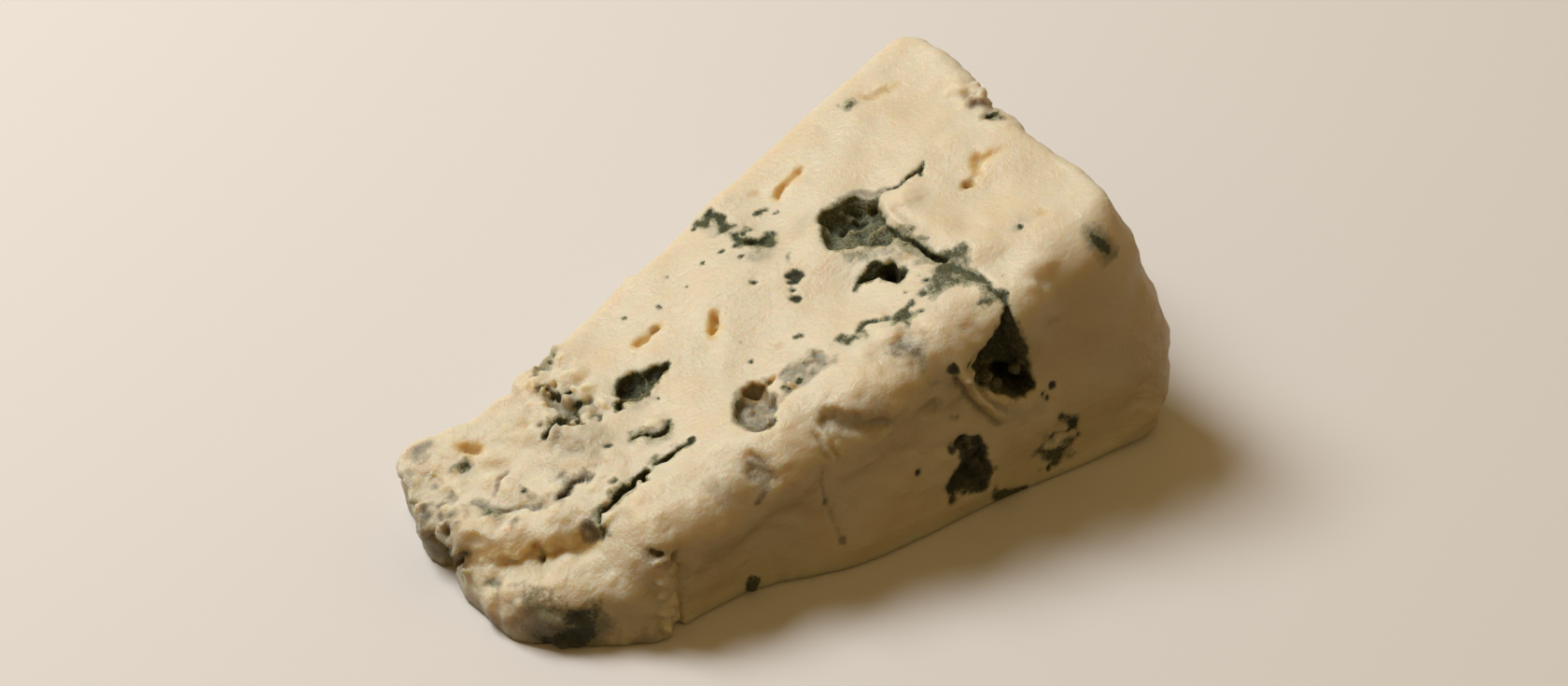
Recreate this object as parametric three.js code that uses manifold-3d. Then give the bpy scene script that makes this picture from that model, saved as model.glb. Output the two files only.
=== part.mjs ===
// A wedge of blue cheese, lying on one of its two radial cuts.
//
// The wedge is modelled in the frame of the wheel it was cut from: the wheel's axis runs along +Y,
// +X points from the axis to the rind, +Z is up and the lower cut is the plane z = 0.  The finished
// mesh is then moved so that the middle of its underside is the origin.  All lengths are millimetres.
import * as THREE from 'three';
import { ImprovedNoise } from 'three/addons/math/ImprovedNoise.js';
import { mergeVertices } from 'three/addons/utils/BufferGeometryUtils.js';
import Module from 'manifold-3d';

// ---- driving dimensions ----
const WHEEL_RADIUS = 111.3; // axis to the rind's edges, a wheel about 22 cm across
const RIND_BELLY = 2.2; // the rind stands proud of that by this much halfway up
const SECTOR_ANGLE = THREE.MathUtils.degToRad(16.95); // between the two radial cuts
const TIP_RADIUS = 27.8; // the point of the sector has broken off here
const WIDTH_AT_RIND = 48.6; // across the wedge at the rind, half of the wheel's height
const WIDTH_AT_TIP = 35.4;
const TAPER_START = 47; // from here the far side runs out to the rind
const SKIRT_END = 44; // the near side turns in towards the tip before this
const SKIRT_INSET = 8; // how far the near side has turned in at the tip
const FOOT_SWELL = { at: 76, reach: 14, by: -1.5 }; // the near side swells out at its foot
const CHUNK_SWELL = { at: 39, reach: 4, by: -0.9 }; // and at the foot of the chunk
const WAIST = { at: 55, reach: 8, by: 1.5 }; // and is hollow between the two
const RIDGE_ROUND = 2.3; // rounding of the long edges
const WORN_RIDGE = 5.5; // but the near one has been worn down
const CORNER_ROUND = 4.4; // rounding of the wheel's two edges at the rind
const FOOT_ROUND = 1.2; // rounding of the edges that rest on the board
const FLAKE_DROP = 1.3; // the tip's upper face lies this much below the cut
const FLAKE_EDGE = { from: 42, to: 46, slant: 0.12 }; // up to a step that runs across the wedge
const CHUNK_DROP = 2.2; // the half-broken chunk at the tip's near corner has sunk this much
const CHUNK_EDGE = { x: 29.3, y: 17, slope: -0.98, bend: 0.022 }; // in front of this line
const CHUNK_END = { from: 40, to: 45 };
const LUMP_SIZE = 11; // wavelength of the uneven paste
const LUMP_HEIGHT = 0.6;
const TORN_LUMPS = 1.5; // the near side and the tip's end are torn, so their lumps are higher
const TIP_CRUMBLE = 1.6; // and so is all of the paste near the tip
const TIP_UNDERCUT = 2.4; // the far end of the tip overhangs by this much
const TIP_CORNER_ROUND = 1.8;
const SURFACE_STEP = 2.45; // mesh spacing of the paste
const PASTE_COLOR = 0xe2d0aa;

const wasm = await Module();
wasm.setup();
const noise = new ImprovedNoise();
const cosTop = Math.cos(SECTOR_ANGLE);
const sinTop = Math.sin(SECTOR_ANGLE);
const { lerp, smoothstep } = THREE.MathUtils;

// ---- the faces that carry the holes, each with its own flat coordinates ----
// On the upper cut, u is the distance from the wheel's axis and v the place across the wedge.
// On the near and far sides, u is the distance along the floor and v the height.
// On the underside, u runs along the wedge and v across it, and on the tip's end, u across and v up.
const upperCut = {
  at: (u, v) => new THREE.Vector3(u * cosTop, v, u * sinTop),
  along: new THREE.Vector3(cosTop, 0, sinTop),
  out: new THREE.Vector3(-sinTop, 0, cosTop),
};
const nearFace = {
  at: (u, v) => new THREE.Vector3(u, nearSide(u, v / (u * sinTop)), v),
  along: new THREE.Vector3(1, 0, 0),
  out: new THREE.Vector3(0, -1, 0),
};
const farFace = {
  at: (u, v) => new THREE.Vector3(u, farSide(u), v),
  along: new THREE.Vector3(-1, 0, 0),
  out: new THREE.Vector3(0, 1, 0),
};
const underside = {
  at: (u, v) => new THREE.Vector3(u, v, 0),
  along: new THREE.Vector3(1, 0, 0),
  out: new THREE.Vector3(0, 0, -1),
};
const tipEnd = {
  at: (u, v) => new THREE.Vector3(TIP_RADIUS, u, v),
  along: new THREE.Vector3(0, -1, 0),
  out: new THREE.Vector3(-1, 0, 0),
};

// Turns a shape made in (u, v, outwards) coordinates so that it stands on a face at the point u, v.
function standOn(face, u, v, turn = 0) {
  const across = new THREE.Vector3().crossVectors(face.out, face.along);
  const place = new THREE.Matrix4().makeBasis(face.along, across, face.out);
  place.setPosition(face.at(u, v));
  return place.multiply(new THREE.Matrix4().makeRotationZ(turn));
}

// ---- from three.js geometry to a solid and back ----
function solid(geometry) {
  const bare = geometry.clone();
  bare.deleteAttribute('normal');
  bare.deleteAttribute('uv');
  const merged = mergeVertices(bare, 1e-4);
  return new wasm.Manifold(new wasm.Mesh({
    numProp: 3,
    vertProperties: new Float32Array(merged.attributes.position.array),
    triVerts: new Uint32Array(merged.index.array),
  }));
}

function geometryOf(body) {
  const mesh = body.getMesh();
  const geometry = new THREE.BufferGeometry();
  geometry.setAttribute('position', new THREE.BufferAttribute(mesh.vertProperties, 3));
  geometry.setIndex(new THREE.BufferAttribute(mesh.triVerts, 1));
  return geometry;
}

function moveVertices(geometry, move) {
  const positions = geometry.attributes.position;
  const point = new THREE.Vector3();
  for (let i = 0; i < positions.count; i += 1) {
    point.fromBufferAttribute(positions, i);
    move(point);
    positions.setXYZ(i, point.x, point.y, point.z);
  }
  return geometry;
}

// ---- the wedge without its holes ----
const swellAt = (x, { at, reach, by }) => by * Math.exp(-(((x - at) / reach) ** 2));

// The near side is y = 0, but it turns in at the tip, swells at its foot and is hollow beside the
// chunk.  Height is 0 at the floor and 1 at the upper cut.
function nearSide(x, height) {
  const turned = Math.max(0, (SKIRT_END - x) / (SKIRT_END - TIP_RADIUS));
  const waist = swellAt(x, WAIST) * smoothstep(x, SKIRT_END, SKIRT_END + 2);
  const foot = swellAt(x, FOOT_SWELL) + swellAt(x, CHUNK_SWELL) + waist;
  return SKIRT_INSET * turned ** 1.8 + foot * (1 - height);
}

function farSide(x) {
  const spread = Math.max(0, (x - TAPER_START) / (WHEEL_RADIUS - TAPER_START));
  return lerp(WIDTH_AT_TIP, WIDTH_AT_RIND, spread);
}

// How far the upper face has flaked below the plane of the cut.
function flaked(x, y) {
  const flake = 1 - smoothstep(x - FLAKE_EDGE.slant * y, FLAKE_EDGE.from - 2, FLAKE_EDGE.to - 2);
  const past = x - CHUNK_EDGE.x;
  const chunkEdge = CHUNK_EDGE.y + CHUNK_EDGE.slope * past + CHUNK_EDGE.bend * past * past;
  const chunk = 1 - smoothstep(y, chunkEdge - 1.4, chunkEdge + 0.6);
  const beforeBody = 1 - smoothstep(x, CHUNK_END.from, CHUNK_END.to);
  return beforeBody * lerp(FLAKE_DROP * flake, CHUNK_DROP, chunk);
}

function lumps(x, y, z) {
  const coarse = noise.noise(x / LUMP_SIZE, y / LUMP_SIZE, z / LUMP_SIZE);
  const half = LUMP_SIZE / 2;
  const fine = noise.noise(x / half, y / half, z / half);
  const crumble = lerp(TIP_CRUMBLE, 1, smoothstep(x, TIP_RADIUS, TAPER_START + 5));
  return LUMP_HEIGHT * (coarse + 0.6 * fine) * crumble;
}

// Packs the mesh lines closer towards both ends of a side, where the edges are rounded.
function closerAtEnds(t) {
  return t - 0.55 * Math.sin(2 * Math.PI * t) / (2 * Math.PI);
}

// The edges to round: two neighbouring sides and a radius.
const AXIS_OF = { tip: 'r', rind: 'r', near: 'y', far: 'y', floor: 'arc', top: 'arc' };
const INWARDS = { tip: 1, rind: -1, near: 1, far: -1, floor: 1, top: -1 };
const ROUNDED_EDGES = [
  ['near', 'top', WORN_RIDGE],
  ['far', 'top', RIDGE_ROUND * 0.7],
  ['tip', 'top', RIDGE_ROUND],
  ['rind', 'top', RIDGE_ROUND * 0.6],
  ['near', 'floor', FOOT_ROUND],
  ['far', 'floor', FOOT_ROUND],
  ['tip', 'floor', FOOT_ROUND],
  ['rind', 'floor', FOOT_ROUND * 3],
  ['rind', 'near', CORNER_ROUND],
  ['rind', 'far', CORNER_ROUND],
  ['tip', 'near', RIDGE_ROUND],
  ['tip', 'far', TIP_CORNER_ROUND],
];

// Rounds the edge between two neighbouring sides, given how far inside each of them the point lies.
function roundEdge(depthA, depthB, radius) {
  const shortA = radius - depthA;
  const shortB = radius - depthB;
  if (shortA <= 0 || shortB <= 0) return [0, 0];
  const pull = 1 - radius / Math.max(radius, Math.hypot(shortA, shortB));
  return [shortA * pull, shortB * pull];
}

function wedgeBody() {
  const length = WHEEL_RADIUS - TIP_RADIUS;
  const box = new THREE.BoxGeometry(
    1, 1, 1,
    Math.round(length / SURFACE_STEP),
    Math.round(WIDTH_AT_RIND / SURFACE_STEP),
    Math.round(WHEEL_RADIUS * SECTOR_ANGLE / SURFACE_STEP / 1.25),
  );
  return moveVertices(box, (point) => {
    const height = closerAtEnds(point.z + 0.5);
    const across = closerAtEnds(point.y + 0.5);
    const undercut = TIP_UNDERCUT * (1 - height) * smoothstep(across, 0.6, 0.95);
    const tipRadius = TIP_RADIUS + undercut;
    const rindRadius = WHEEL_RADIUS + RIND_BELLY * Math.sin(Math.PI * height ** 0.75);
    let r = lerp(tipRadius, rindRadius, closerAtEnds(point.x + 0.5));
    const x0 = r * Math.cos(SECTOR_ANGLE * height);
    const near = nearSide(x0, height);
    const far = farSide(x0);
    let y = lerp(near, far, across);
    let arc = r * SECTOR_ANGLE * height;

    const inside = {
      tip: r - tipRadius,
      rind: rindRadius - r,
      near: y - near,
      far: far - y,
      floor: arc,
      top: r * SECTOR_ANGLE - arc,
    };
    const shift = { r: 0, y: 0, arc: 0 };
    for (const [sideA, sideB, radius] of ROUNDED_EDGES) {
      const [moveA, moveB] = roundEdge(inside[sideA], inside[sideB], radius);
      shift[AXIS_OF[sideA]] += INWARDS[sideA] * moveA;
      shift[AXIS_OF[sideB]] += INWARDS[sideB] * moveB;
    }
    r += shift.r;
    y += shift.y;
    arc += shift.arc;

    const angle = arc / r;
    const swell = smoothstep(arc, 0.5, 4) * lumps(r * Math.cos(angle), y, r * Math.sin(angle));
    if (inside.rind < 1) r += swell;
    if (inside.tip < 1) r -= TORN_LUMPS * swell;
    if (inside.far < 1) y += swell;
    if (inside.near < 1) y -= TORN_LUMPS * swell;
    const x = r * Math.cos(angle);
    const lift = inside.top < 1 ? swell : 0;
    const z = r * Math.sin(angle) + lift - flaked(x, y) * height ** 2;
    point.set(x, y, z);
  });
}

// ---- holes, cracks and crags ----
// A pocket or a crag is a dented ball, pressed into an ellipsoid and half sunk in its face.
function dentedBall(detail, dent, seed) {
  return moveVertices(new THREE.IcosahedronGeometry(1, detail), (point) => {
    const bump = noise.noise(1.7 * point.x + seed, 1.7 * point.y, 1.7 * point.z + 2 * seed);
    point.multiplyScalar(1 + dent * bump);
  });
}

function ball(face, { u, v, long, wide, deep, turn = 0, sunk = 0, dent = 0.45 }) {
  const detail = long + wide > 4.5 ? 2 : 1;
  const shape = dentedBall(detail, dent, u + v);
  shape.scale(long, wide, deep);
  shape.translate(0, 0, -sunk);
  return solid(shape.applyMatrix4(standOn(face, u, v, turn)));
}

const ABOVE_SURFACE = 2.5; // a cutter starts this far outside the lumpy surface
const CRACK_NARROWING = 0.7; // how much of its width a crack has lost at its bottom

// A crack follows a smooth line through a few points of its face.  It is widest halfway along,
// closes at both ends and narrows with depth.
function crack(face, { line, width, deep, steps = 14 }) {
  const curve = new THREE.SplineCurve(line.map(([u, v]) => new THREE.Vector2(u, v)));
  const middle = curve.getPoints(steps);
  const rim = { left: [], right: [] };
  middle.forEach((point, i) => {
    const t = i / steps;
    const half = 0.5 * width * Math.max(0.12, Math.sin(Math.PI * t) ** 0.6);
    const ragged = half * (1 + 0.5 * noise.noise(point.x * 0.8, point.y * 0.8, 3.1));
    const tangent = curve.getTangent(t);
    const side = new THREE.Vector2(-tangent.y, tangent.x).multiplyScalar(ragged);
    rim.left.push(point.clone().add(side));
    rim.right.push(point.clone().sub(side));
  });
  const outline = new THREE.Shape([...rim.left, ...rim.right.reverse()]);
  const depth = deep + ABOVE_SURFACE;
  const slot = new THREE.ExtrudeGeometry(outline, { depth, bevelEnabled: false });
  const distance = (a, b) => Math.hypot(a.x - b.x, a.y - b.y);
  moveVertices(slot, (point) => {
    if (point.z > 0.5 * deep) return;
    const closer = (best, next) => (distance(next, point) < distance(best, point) ? next : best);
    const nearest = middle.reduce(closer);
    point.x = lerp(point.x, nearest.x, CRACK_NARROWING);
    point.y = lerp(point.y, nearest.y, CRACK_NARROWING);
  });
  slot.translate(0, 0, -deep);
  return solid(slot.applyMatrix4(standOn(face, 0, 0)));
}

// Blue pockets and clean eyes of the upper cut.
const UPPER_POCKETS = [
  { u: 88, v: 25.2, long: 3.6, wide: 4.0, deep: 3.6 }, // the largest blue pocket
  { u: 88.3, v: 21, long: 2.6, wide: 2.2, deep: 1.8 }, // its powdery floor runs on
  { u: 84.6, v: 24, long: 1.6, wide: 2.2, deep: 1.4 },
  { u: 86.6, v: 16.2, long: 1.7, wide: 2.3, deep: 3.4 }, // the pocket beside it
  { u: 83.8, v: 17, long: 1.9, wide: 1.0, deep: 1.3 },
  { u: 63.4, v: 9.0, long: 2.7, wide: 3.3, deep: 2.6, turn: -0.5 },
  { u: 66, v: 12, long: 2.3, wide: 1.0, deep: 1.8 },
  { u: 56.5, v: 23, long: 3.9, wide: 1.7, deep: 1.6, turn: -0.1 },
  { u: 85.8, v: 36.4, long: 2.4, wide: 0.7, deep: 1.4, turn: 0.3 },
  { u: 61.3, v: 28.2, long: 2.5, wide: 0.8, deep: 1.3, turn: 0.1 },
  { u: 67.4, v: 24, long: 1.7, wide: 0.8, deep: 1.6, turn: 0.9 },
  { u: 103.2, v: 22.4, long: 2.6, wide: 0.7, deep: 1.2, turn: 0.75 },
  { u: 37, v: 30.1, long: 1.9, wide: 0.8, deep: 3, turn: -1 },
  { u: 76.8, v: 36.8, long: 1.2, wide: 2.2, deep: 0.8 },
  { u: 109.8, v: 28.8, long: 1.9, wide: 2.6, deep: 1.7 }, // a bite out of the rind's edge
];

// Cracks of the upper cut: along the chunk, behind the ridge and out of the large pocket.
const UPPER_CRACKS = [
  { line: [[23, 21.6], [29.2, 16.6], [33.5, 12.6], [38, 9.6], [42.5, 8.6]], width: 2.2, deep: 4.4 },
  { line: [[40.5, 8.2], [44.8, 11], [48.6, 9.7], [55.7, 10]], width: 1.4, deep: 3.6 },
  { line: [[90.3, 22.5], [91.2, 17], [91.7, 12.5], [92.8, 3]], width: 1.2, deep: 3.2 },
  { line: [[90.5, 26.5], [93, 26.6], [96.5, 26], [99.6, 27.2]], width: 0.8, deep: 1.4 },
  { line: [[50.6, 16], [52.4, 14.9], [53.8, 14.3], [56.2, 15.8]], width: 1, deep: 1.6 },
  { line: [[78.8, 9.4], [80.6, 10.3], [82.6, 9.6], [84, 7]], width: 1, deep: 1 },
  { line: [[33.5, 19.8], [36, 17.6], [39.9, 15], [44.4, 15]], width: 1.2, deep: 2.2 },
];

// Torn paste at the far side, where the flake over the tip broke away.
const CRAGS = [
  { u: 46.4, v: 33.2, long: 1.4, wide: 1.3, deep: 1.2, sunk: 0.9 },
  { u: 49, v: 31.6, long: 1.6, wide: 1.9, deep: 1.1, sunk: 0.8 },
  { u: 45.2, v: 28.9, long: 1.9, wide: 1.5, deep: 1.3, sunk: 1.0 },
  { u: 48.4, v: 26.3, long: 1.2, wide: 1.3, deep: 1.1, sunk: 0.7 },
  { u: 46, v: 22.8, long: 1.9, wide: 1.3, deep: 1.3, sunk: 1.0 },
];

const CREVICES = [
  { line: [[43, 24], [45.4, 24.4], [47, 23.4]], width: 1, deep: 2.2 },
  { line: [[46.8, 30], [48.2, 28.4], [47.8, 25.4], [49, 24.2]], width: 1.2, deep: 2.2 },
];

// The torn cavity that opens on the near face, the notch over it and the small holes round it.
const CAVITY_OUTLINE = [
  [88.7, 26.2], [91, 21.4], [93, 15.2], [90.6, 13.6], [86.6, 16], [83.8, 21],
];
const CAVITY_MIDDLE = [88.6, 19.5];
const CAVITY_DEPTH = 5.5;
const CAVITY_NARROWING = 0.45; // its back wall is that much closer to the middle than its mouth
const NEAR_POCKETS = [
  { u: 90.2, v: 15.2, long: 3.4, wide: 1.7, deep: 4 },
  { u: 80.4, v: 22, long: 0.9, wide: 1.1, deep: 1.4 },
  { u: 94.6, v: 12.9, long: 1.3, wide: 0.8, deep: 1.3, turn: -0.6 },
  { u: 83.2, v: 7.4, long: 1.9, wide: 3.0, deep: 0.9, turn: -0.3 },
  { u: 96.4, v: 6.6, long: 1.5, wide: 2.8, deep: 0.8, turn: -0.5 },
  { u: 58.4, v: 19.2, long: 1.2, wide: 1.7, deep: 1.2, turn: 0.4 },
];

const HANGING_CRUMB = { u: 55.6, v: 1.9, long: 1.3, wide: 1.5, deep: 1.4, sunk: 0.1 };

const FAR_POCKETS = [
  { u: 92, v: 17, long: 3.4, wide: 2.1, deep: 1.6, turn: 0.5 },
  { u: 76, v: 8.5, long: 2.2, wide: 1.3, deep: 1.3, turn: -0.3 },
  { u: 66, v: 13.5, long: 1.8, wide: 0.8, deep: 1.3, turn: 0.8 },
  { u: 54, v: 6.5, long: 2.6, wide: 1.2, deep: 1.2, turn: 0.2 },
];

const UNDERSIDE_POCKETS = [
  { u: 94, v: 31, long: 3.2, wide: 1.9, deep: 1.8, turn: 0.6 },
  { u: 84, v: 13, long: 2.4, wide: 1.1, deep: 1.4, turn: -0.4 },
  { u: 58, v: 29, long: 2.8, wide: 1.4, deep: 1.5, turn: 0.3 },
  { u: 46, v: 12, long: 2.2, wide: 1.2, deep: 1.3, turn: -0.7 },
];

// Flakes lost from the broken end of the tip.
const TIP_CHIPS = [
  { u: 24, v: 6.6, long: 3.4, wide: 1.8, deep: 1.6, turn: 0.2 },
  { u: 29.5, v: 3.2, long: 2.2, wide: 1.6, deep: 1.9 },
  { u: 17.5, v: 2.6, long: 2.4, wide: 1.3, deep: 1.2 },
];

function cavity() {
  const [middleU, middleV] = CAVITY_MIDDLE;
  const rim = CAVITY_OUTLINE.map(([u, v]) => new THREE.Vector2(u - middleU, v - middleV));
  const depth = CAVITY_DEPTH + ABOVE_SURFACE;
  const hole = new THREE.ExtrudeGeometry(new THREE.Shape(rim), { depth, bevelEnabled: false });
  hole.translate(0, 0, -CAVITY_DEPTH);
  moveVertices(hole, (point) => {
    const narrowed = point.z < 0 ? 1 - CAVITY_NARROWING : 1;
    point.x *= narrowed;
    point.y *= narrowed;
  });
  return solid(hole.applyMatrix4(standOn(nearFace, middleU, middleV)));
}

// ---- putting the wedge together ----
function cheeseWedge() {
  let wedge = solid(wedgeBody());
  for (const crag of CRAGS) {
    wedge = wedge.add(ball(upperCut, { ...crag, dent: 0.7 }));
  }
  wedge = wedge.add(ball(nearFace, HANGING_CRUMB));
  const pockets = [
    [upperCut, UPPER_POCKETS],
    [nearFace, NEAR_POCKETS],
    [farFace, FAR_POCKETS],
    [underside, UNDERSIDE_POCKETS],
    [tipEnd, TIP_CHIPS],
  ];
  for (const [face, holes] of pockets) {
    for (const hole of holes) {
      wedge = wedge.subtract(ball(face, hole));
    }
  }
  for (const line of [...UPPER_CRACKS, ...CREVICES]) {
    wedge = wedge.subtract(crack(upperCut, line));
  }
  return wedge.subtract(cavity());
}

const geometry = geometryOf(cheeseWedge());
geometry.computeBoundingBox();
const middle = geometry.boundingBox.getCenter(new THREE.Vector3());
const paste = new THREE.MeshStandardMaterial({ color: PASTE_COLOR, roughness: 0.6, metalness: 0 });
const cheese = new THREE.Mesh(geometry, paste);
cheese.name = 'cheese_wedge';
cheese.position.set(-middle.x, -middle.y, -geometry.boundingBox.min.z);

const model = new THREE.Group();
model.add(cheese);

export default model;
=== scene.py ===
"""A wedge of blue cheese, lying on one of its two radial cuts.

The paste is one solid, worked out as a signed distance field on a grid, in the frame of the wheel that
it was cut from: the wheel's axis runs along +Y, +X points from the axis to the rind, +Z is up and the
lower cut is z = 0.  Lengths in the field are millimetres.  Pockets, cracks, crags and crumbs are cut
from the field or added to it, and each of them also paints the field's tints, which the material turns
into colour.
"""
import math

import bpy
import numpy as np
import openvdb
from mathutils import Matrix, Vector


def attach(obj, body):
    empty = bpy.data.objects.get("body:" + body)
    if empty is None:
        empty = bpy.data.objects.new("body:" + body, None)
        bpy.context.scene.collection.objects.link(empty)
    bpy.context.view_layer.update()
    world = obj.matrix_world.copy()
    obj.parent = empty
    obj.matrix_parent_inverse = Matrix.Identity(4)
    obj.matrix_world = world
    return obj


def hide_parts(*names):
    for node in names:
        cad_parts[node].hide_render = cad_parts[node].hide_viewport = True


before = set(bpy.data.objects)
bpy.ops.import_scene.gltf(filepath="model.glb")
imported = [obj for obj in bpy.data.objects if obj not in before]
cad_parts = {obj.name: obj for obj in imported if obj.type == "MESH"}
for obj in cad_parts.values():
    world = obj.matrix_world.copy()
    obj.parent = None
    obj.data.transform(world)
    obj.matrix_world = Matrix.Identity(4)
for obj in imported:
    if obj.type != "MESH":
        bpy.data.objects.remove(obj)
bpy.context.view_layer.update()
MM = 0.001

# ---- the wheel and the wedge, in millimetres ----
WHEEL_RADIUS = 111.3
RIND_BELLY = 2.5
SECTOR_ANGLE = math.radians(16.95)
COS_TOP, SIN_TOP, TAN_TOP = math.cos(SECTOR_ANGLE), math.sin(SECTOR_ANGLE), math.tan(SECTOR_ANGLE)
TIP_RADIUS = 27.9
TIP_FOOT = (  # across the wedge, and the distance from the axis to the tip's foot there
    (0, 29.9), (6.6, 29.3), (9, 28.4), (14, 28), (16.7, 27.6), (20, 28.3), (21.8, 28.8), (22.7, 29.6),
    (23.3, 28.2), (25, 27.6), (27, 27.8), (30.7, 29.3), (35, 29.7),
)
TIP_FOOT_TOP = (7.4, 4.4)  # the foot's own line sets in between these heights
BOX_MIDDLE = (70.04, 23.209, 0.0)  # the middle of the CAD wedge's underside, in the wheel's frame
FAR_EDGE = (  # distance from the axis along the upper cut, and the width of the wedge there
    (27, 32.2), (28.6, 33.6), (30.2, 34.9), (32.7, 35.9), (34.7, 35.6), (36.3, 34.7), (41.2, 34.3),
    (45.2, 33.5), (46.4, 34.6), (51, 34.7), (57, 36.7), (64.6, 38.7), (65.4, 38.1), (70, 39.4), (75, 40.7),
    (85, 43.3), (98, 45.9), (107, 48.1), (112, 49.1),
)
FAR_NICK = (64.6, 65.4)  # the nick between these two points of the far edge fades out below the edge
FAR_STAND = 0.2  # the far side stands outside the points by this much
SKIRT_END, SKIRT_INSET, SKIRT_CURVE = 44.0, 7.6, 1.8  # the near side turns in towards the tip
CHUNK_SWELL = (42.0, 3.6, -1.1)  # where along the foot, how far it reaches, and how far in
FOOT_SWELL = (70.0, 13.0, -1.6)
WAIST = (56.0, 6.5, 1.6)
TOP_LEAN = (91.0, 98.0, 2.6)  # past the cavity the near side leans in towards the top, by this much
TORN_STEP = (44.4, 1.5)  # the chunk's torn end stands proud of the near side here, by this much
CROWN = ((13, 6, 0.9), (22.5, 3, -0.4))  # where across the top of the rind, reach, and how far out
CROWN_FAR = 0.5  # the crown at the far side
CHUNK_LINE = (16.4, -0.98, 0.022)  # where across the wedge the half-broken chunk parts from the tip
FRONT_LINE = (20.6, -0.82, 0.014)  # where across the wedge the flake over the tip ends
LINES_START = 29.3  # both lines are given from here on: at it, the slope and the curve
FLAKE_DROP, FRONT_DROP, CHUNK_DROP = 1.3, -0.6, 3.1  # how far these lie below the plane of the cut

RIDGE_ROUND, FAR_ROUND, RIND_TOP_ROUND = 4.4, 1.6, 1.5  # the edges of the upper cut
WORN_RIDGE = 3.2  # more than that along the middle of the ridge
TIP_EDGES = 0.8  # less than that over the tip
CORNER_ROUND, HIGH_CORNER_ROUND = 4.4, 2.2  # the upright corners at the rind, and more high up
TIP_CORNER_ROUND = 2.0
FOOT_ROUND = 0.7

# ---- the grid ----
STEP = 0.33
GRID_LOW = (24.4, -4.4, -1.2)
GRID_HIGH = (115.6, 51.2, 36.0)
ELLIPSE_POINTS = 14
CRUMB_FACES = 18
# Some tints are painted light: the tan of pits and shaded walls is a painted glow, and the brown and smudge
# tints are partly painted shade.
TINTS = ("mould", "powder", "pit", "grey", "brown", "smudge", "torn")
MOST_TRIANGLES = 196000
FAR_AWAY = 3.0  # distances in the field are cut off here
PLAIN_DEPTH, PLAIN_TINT = 0.7, 0.02  # hidden places this near the surface and this clean are plain

# ---- the camera, in the wheel's frame ----
CAMERA_TARGET = (74.744, 25.228, 12.0)
CAMERA_DISTANCE = 500.0
CAMERA_AZIMUTH, CAMERA_ELEVATION = math.radians(-32.0), math.radians(36.6)
CAMERA_LENS, CAMERA_SENSOR = 99.27, 36.0


def smoothstep(low, high, value):
    t = np.clip((value - low) / (high - low), 0.0, 1.0)
    return t * t * (3.0 - 2.0 * t)


def smooth_max(a, b, blend):
    return np.maximum(a, b) + np.maximum(blend - np.abs(a - b), 0.0) ** 2 / (4.0 * blend)


def smooth_min(a, b, blend):
    return -smooth_max(-a, -b, blend)


def rounded_corner(a, b, radius):
    """The inside of both a and b, with the edge between them rounded."""
    inner = np.minimum(-radius, np.maximum(a, b))
    return inner + np.hypot(np.maximum(a + radius, 0.0), np.maximum(b + radius, 0.0))


AXES = [np.arange(low, high, STEP, dtype=np.float32) for low, high in zip(GRID_LOW, GRID_HIGH)]
SHAPE = tuple(len(axis) for axis in AXES)
X = AXES[0][:, None, None]
Y = AXES[1][None, :, None]
Z = AXES[2][None, None, :]
HEIGHT = np.clip(Z / (X * TAN_TOP), 0, 1)  # 0 at the floor, 1 at the upper cut


# ---- noise ----
def spline_weights(axis, spacing):
    """Cubic B-spline weights that carry a lattice of this spacing to the grid's own places."""
    t = (axis - axis[0]) / spacing
    cell = np.floor(t).astype(int)
    f = t - cell
    weights = np.zeros((len(axis), cell[-1] + 4), np.float32)
    middle = (3 * f ** 3 - 6 * f ** 2 + 4, -3 * f ** 3 + 3 * f ** 2 + 3 * f + 1)
    for shift, part in enumerate(((1 - f) ** 3, *middle, f ** 3)):
        weights[np.arange(len(axis)), cell + shift] = part / 6
    return weights


def noise(wavelength, seed):
    """Smooth random field over the grid, with a standard deviation of 1."""
    wx, wy, wz = (spline_weights(axis, wavelength / 2) for axis in AXES)
    lattice = np.random.default_rng(seed).standard_normal((wx.shape[1], wy.shape[1], wz.shape[1]))
    field = np.tensordot(wx, lattice.astype(np.float32), (1, 0))
    for weights in (wy, wz):
        field = np.tensordot(field, weights, (1, 1))
    return field / field.std()


LUMPS = noise(11, 1)
KNOBS = noise(3.8, 2)
GRIT = noise(1.5, 3)
CRUMBLE = np.abs(noise(4.4, 8)) - 0.8  # rounded lumps with creases between them
FINE_CRUMBLE = np.abs(noise(1.9, 9)) - 0.8
WARP = (noise(2.6, 4), noise(2.6, 5))
FRAY = (noise(1.1, 6), noise(1.1, 7))
FINE_FRAY = 0.5  # how much of FRAY goes into a ragged outline, beside WARP


# ---- the wedge without its holes ----
def swell_at(x, swell):
    at, reach, by = swell
    return by * np.exp(-(((x - at) / reach) ** 2))


def near_side(x, height):
    """The near side: y at a place along the wedge, with height 0 at the floor and 1 at the cut."""
    turned = np.clip((SKIRT_END - x) / (SKIRT_END - TIP_RADIUS), 0.0, 1.4)
    step_at, step_by = TORN_STEP
    behind = smoothstep(step_at, step_at + 0.7, x)
    foot = swell_at(x, FOOT_SWELL) + swell_at(x, CHUNK_SWELL) + swell_at(x, WAIST) * behind
    step = step_by * behind * (1 - smoothstep(step_at + 0.8, step_at + 2.6, x)) * (1 - height ** 2)
    lean_from, lean_to, lean_by = TOP_LEAN
    lean = lean_by * smoothstep(lean_from, lean_to, x) * height ** 2
    return SKIRT_INSET * turned ** SKIRT_CURVE + foot * (1 - height) + step + lean


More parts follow.
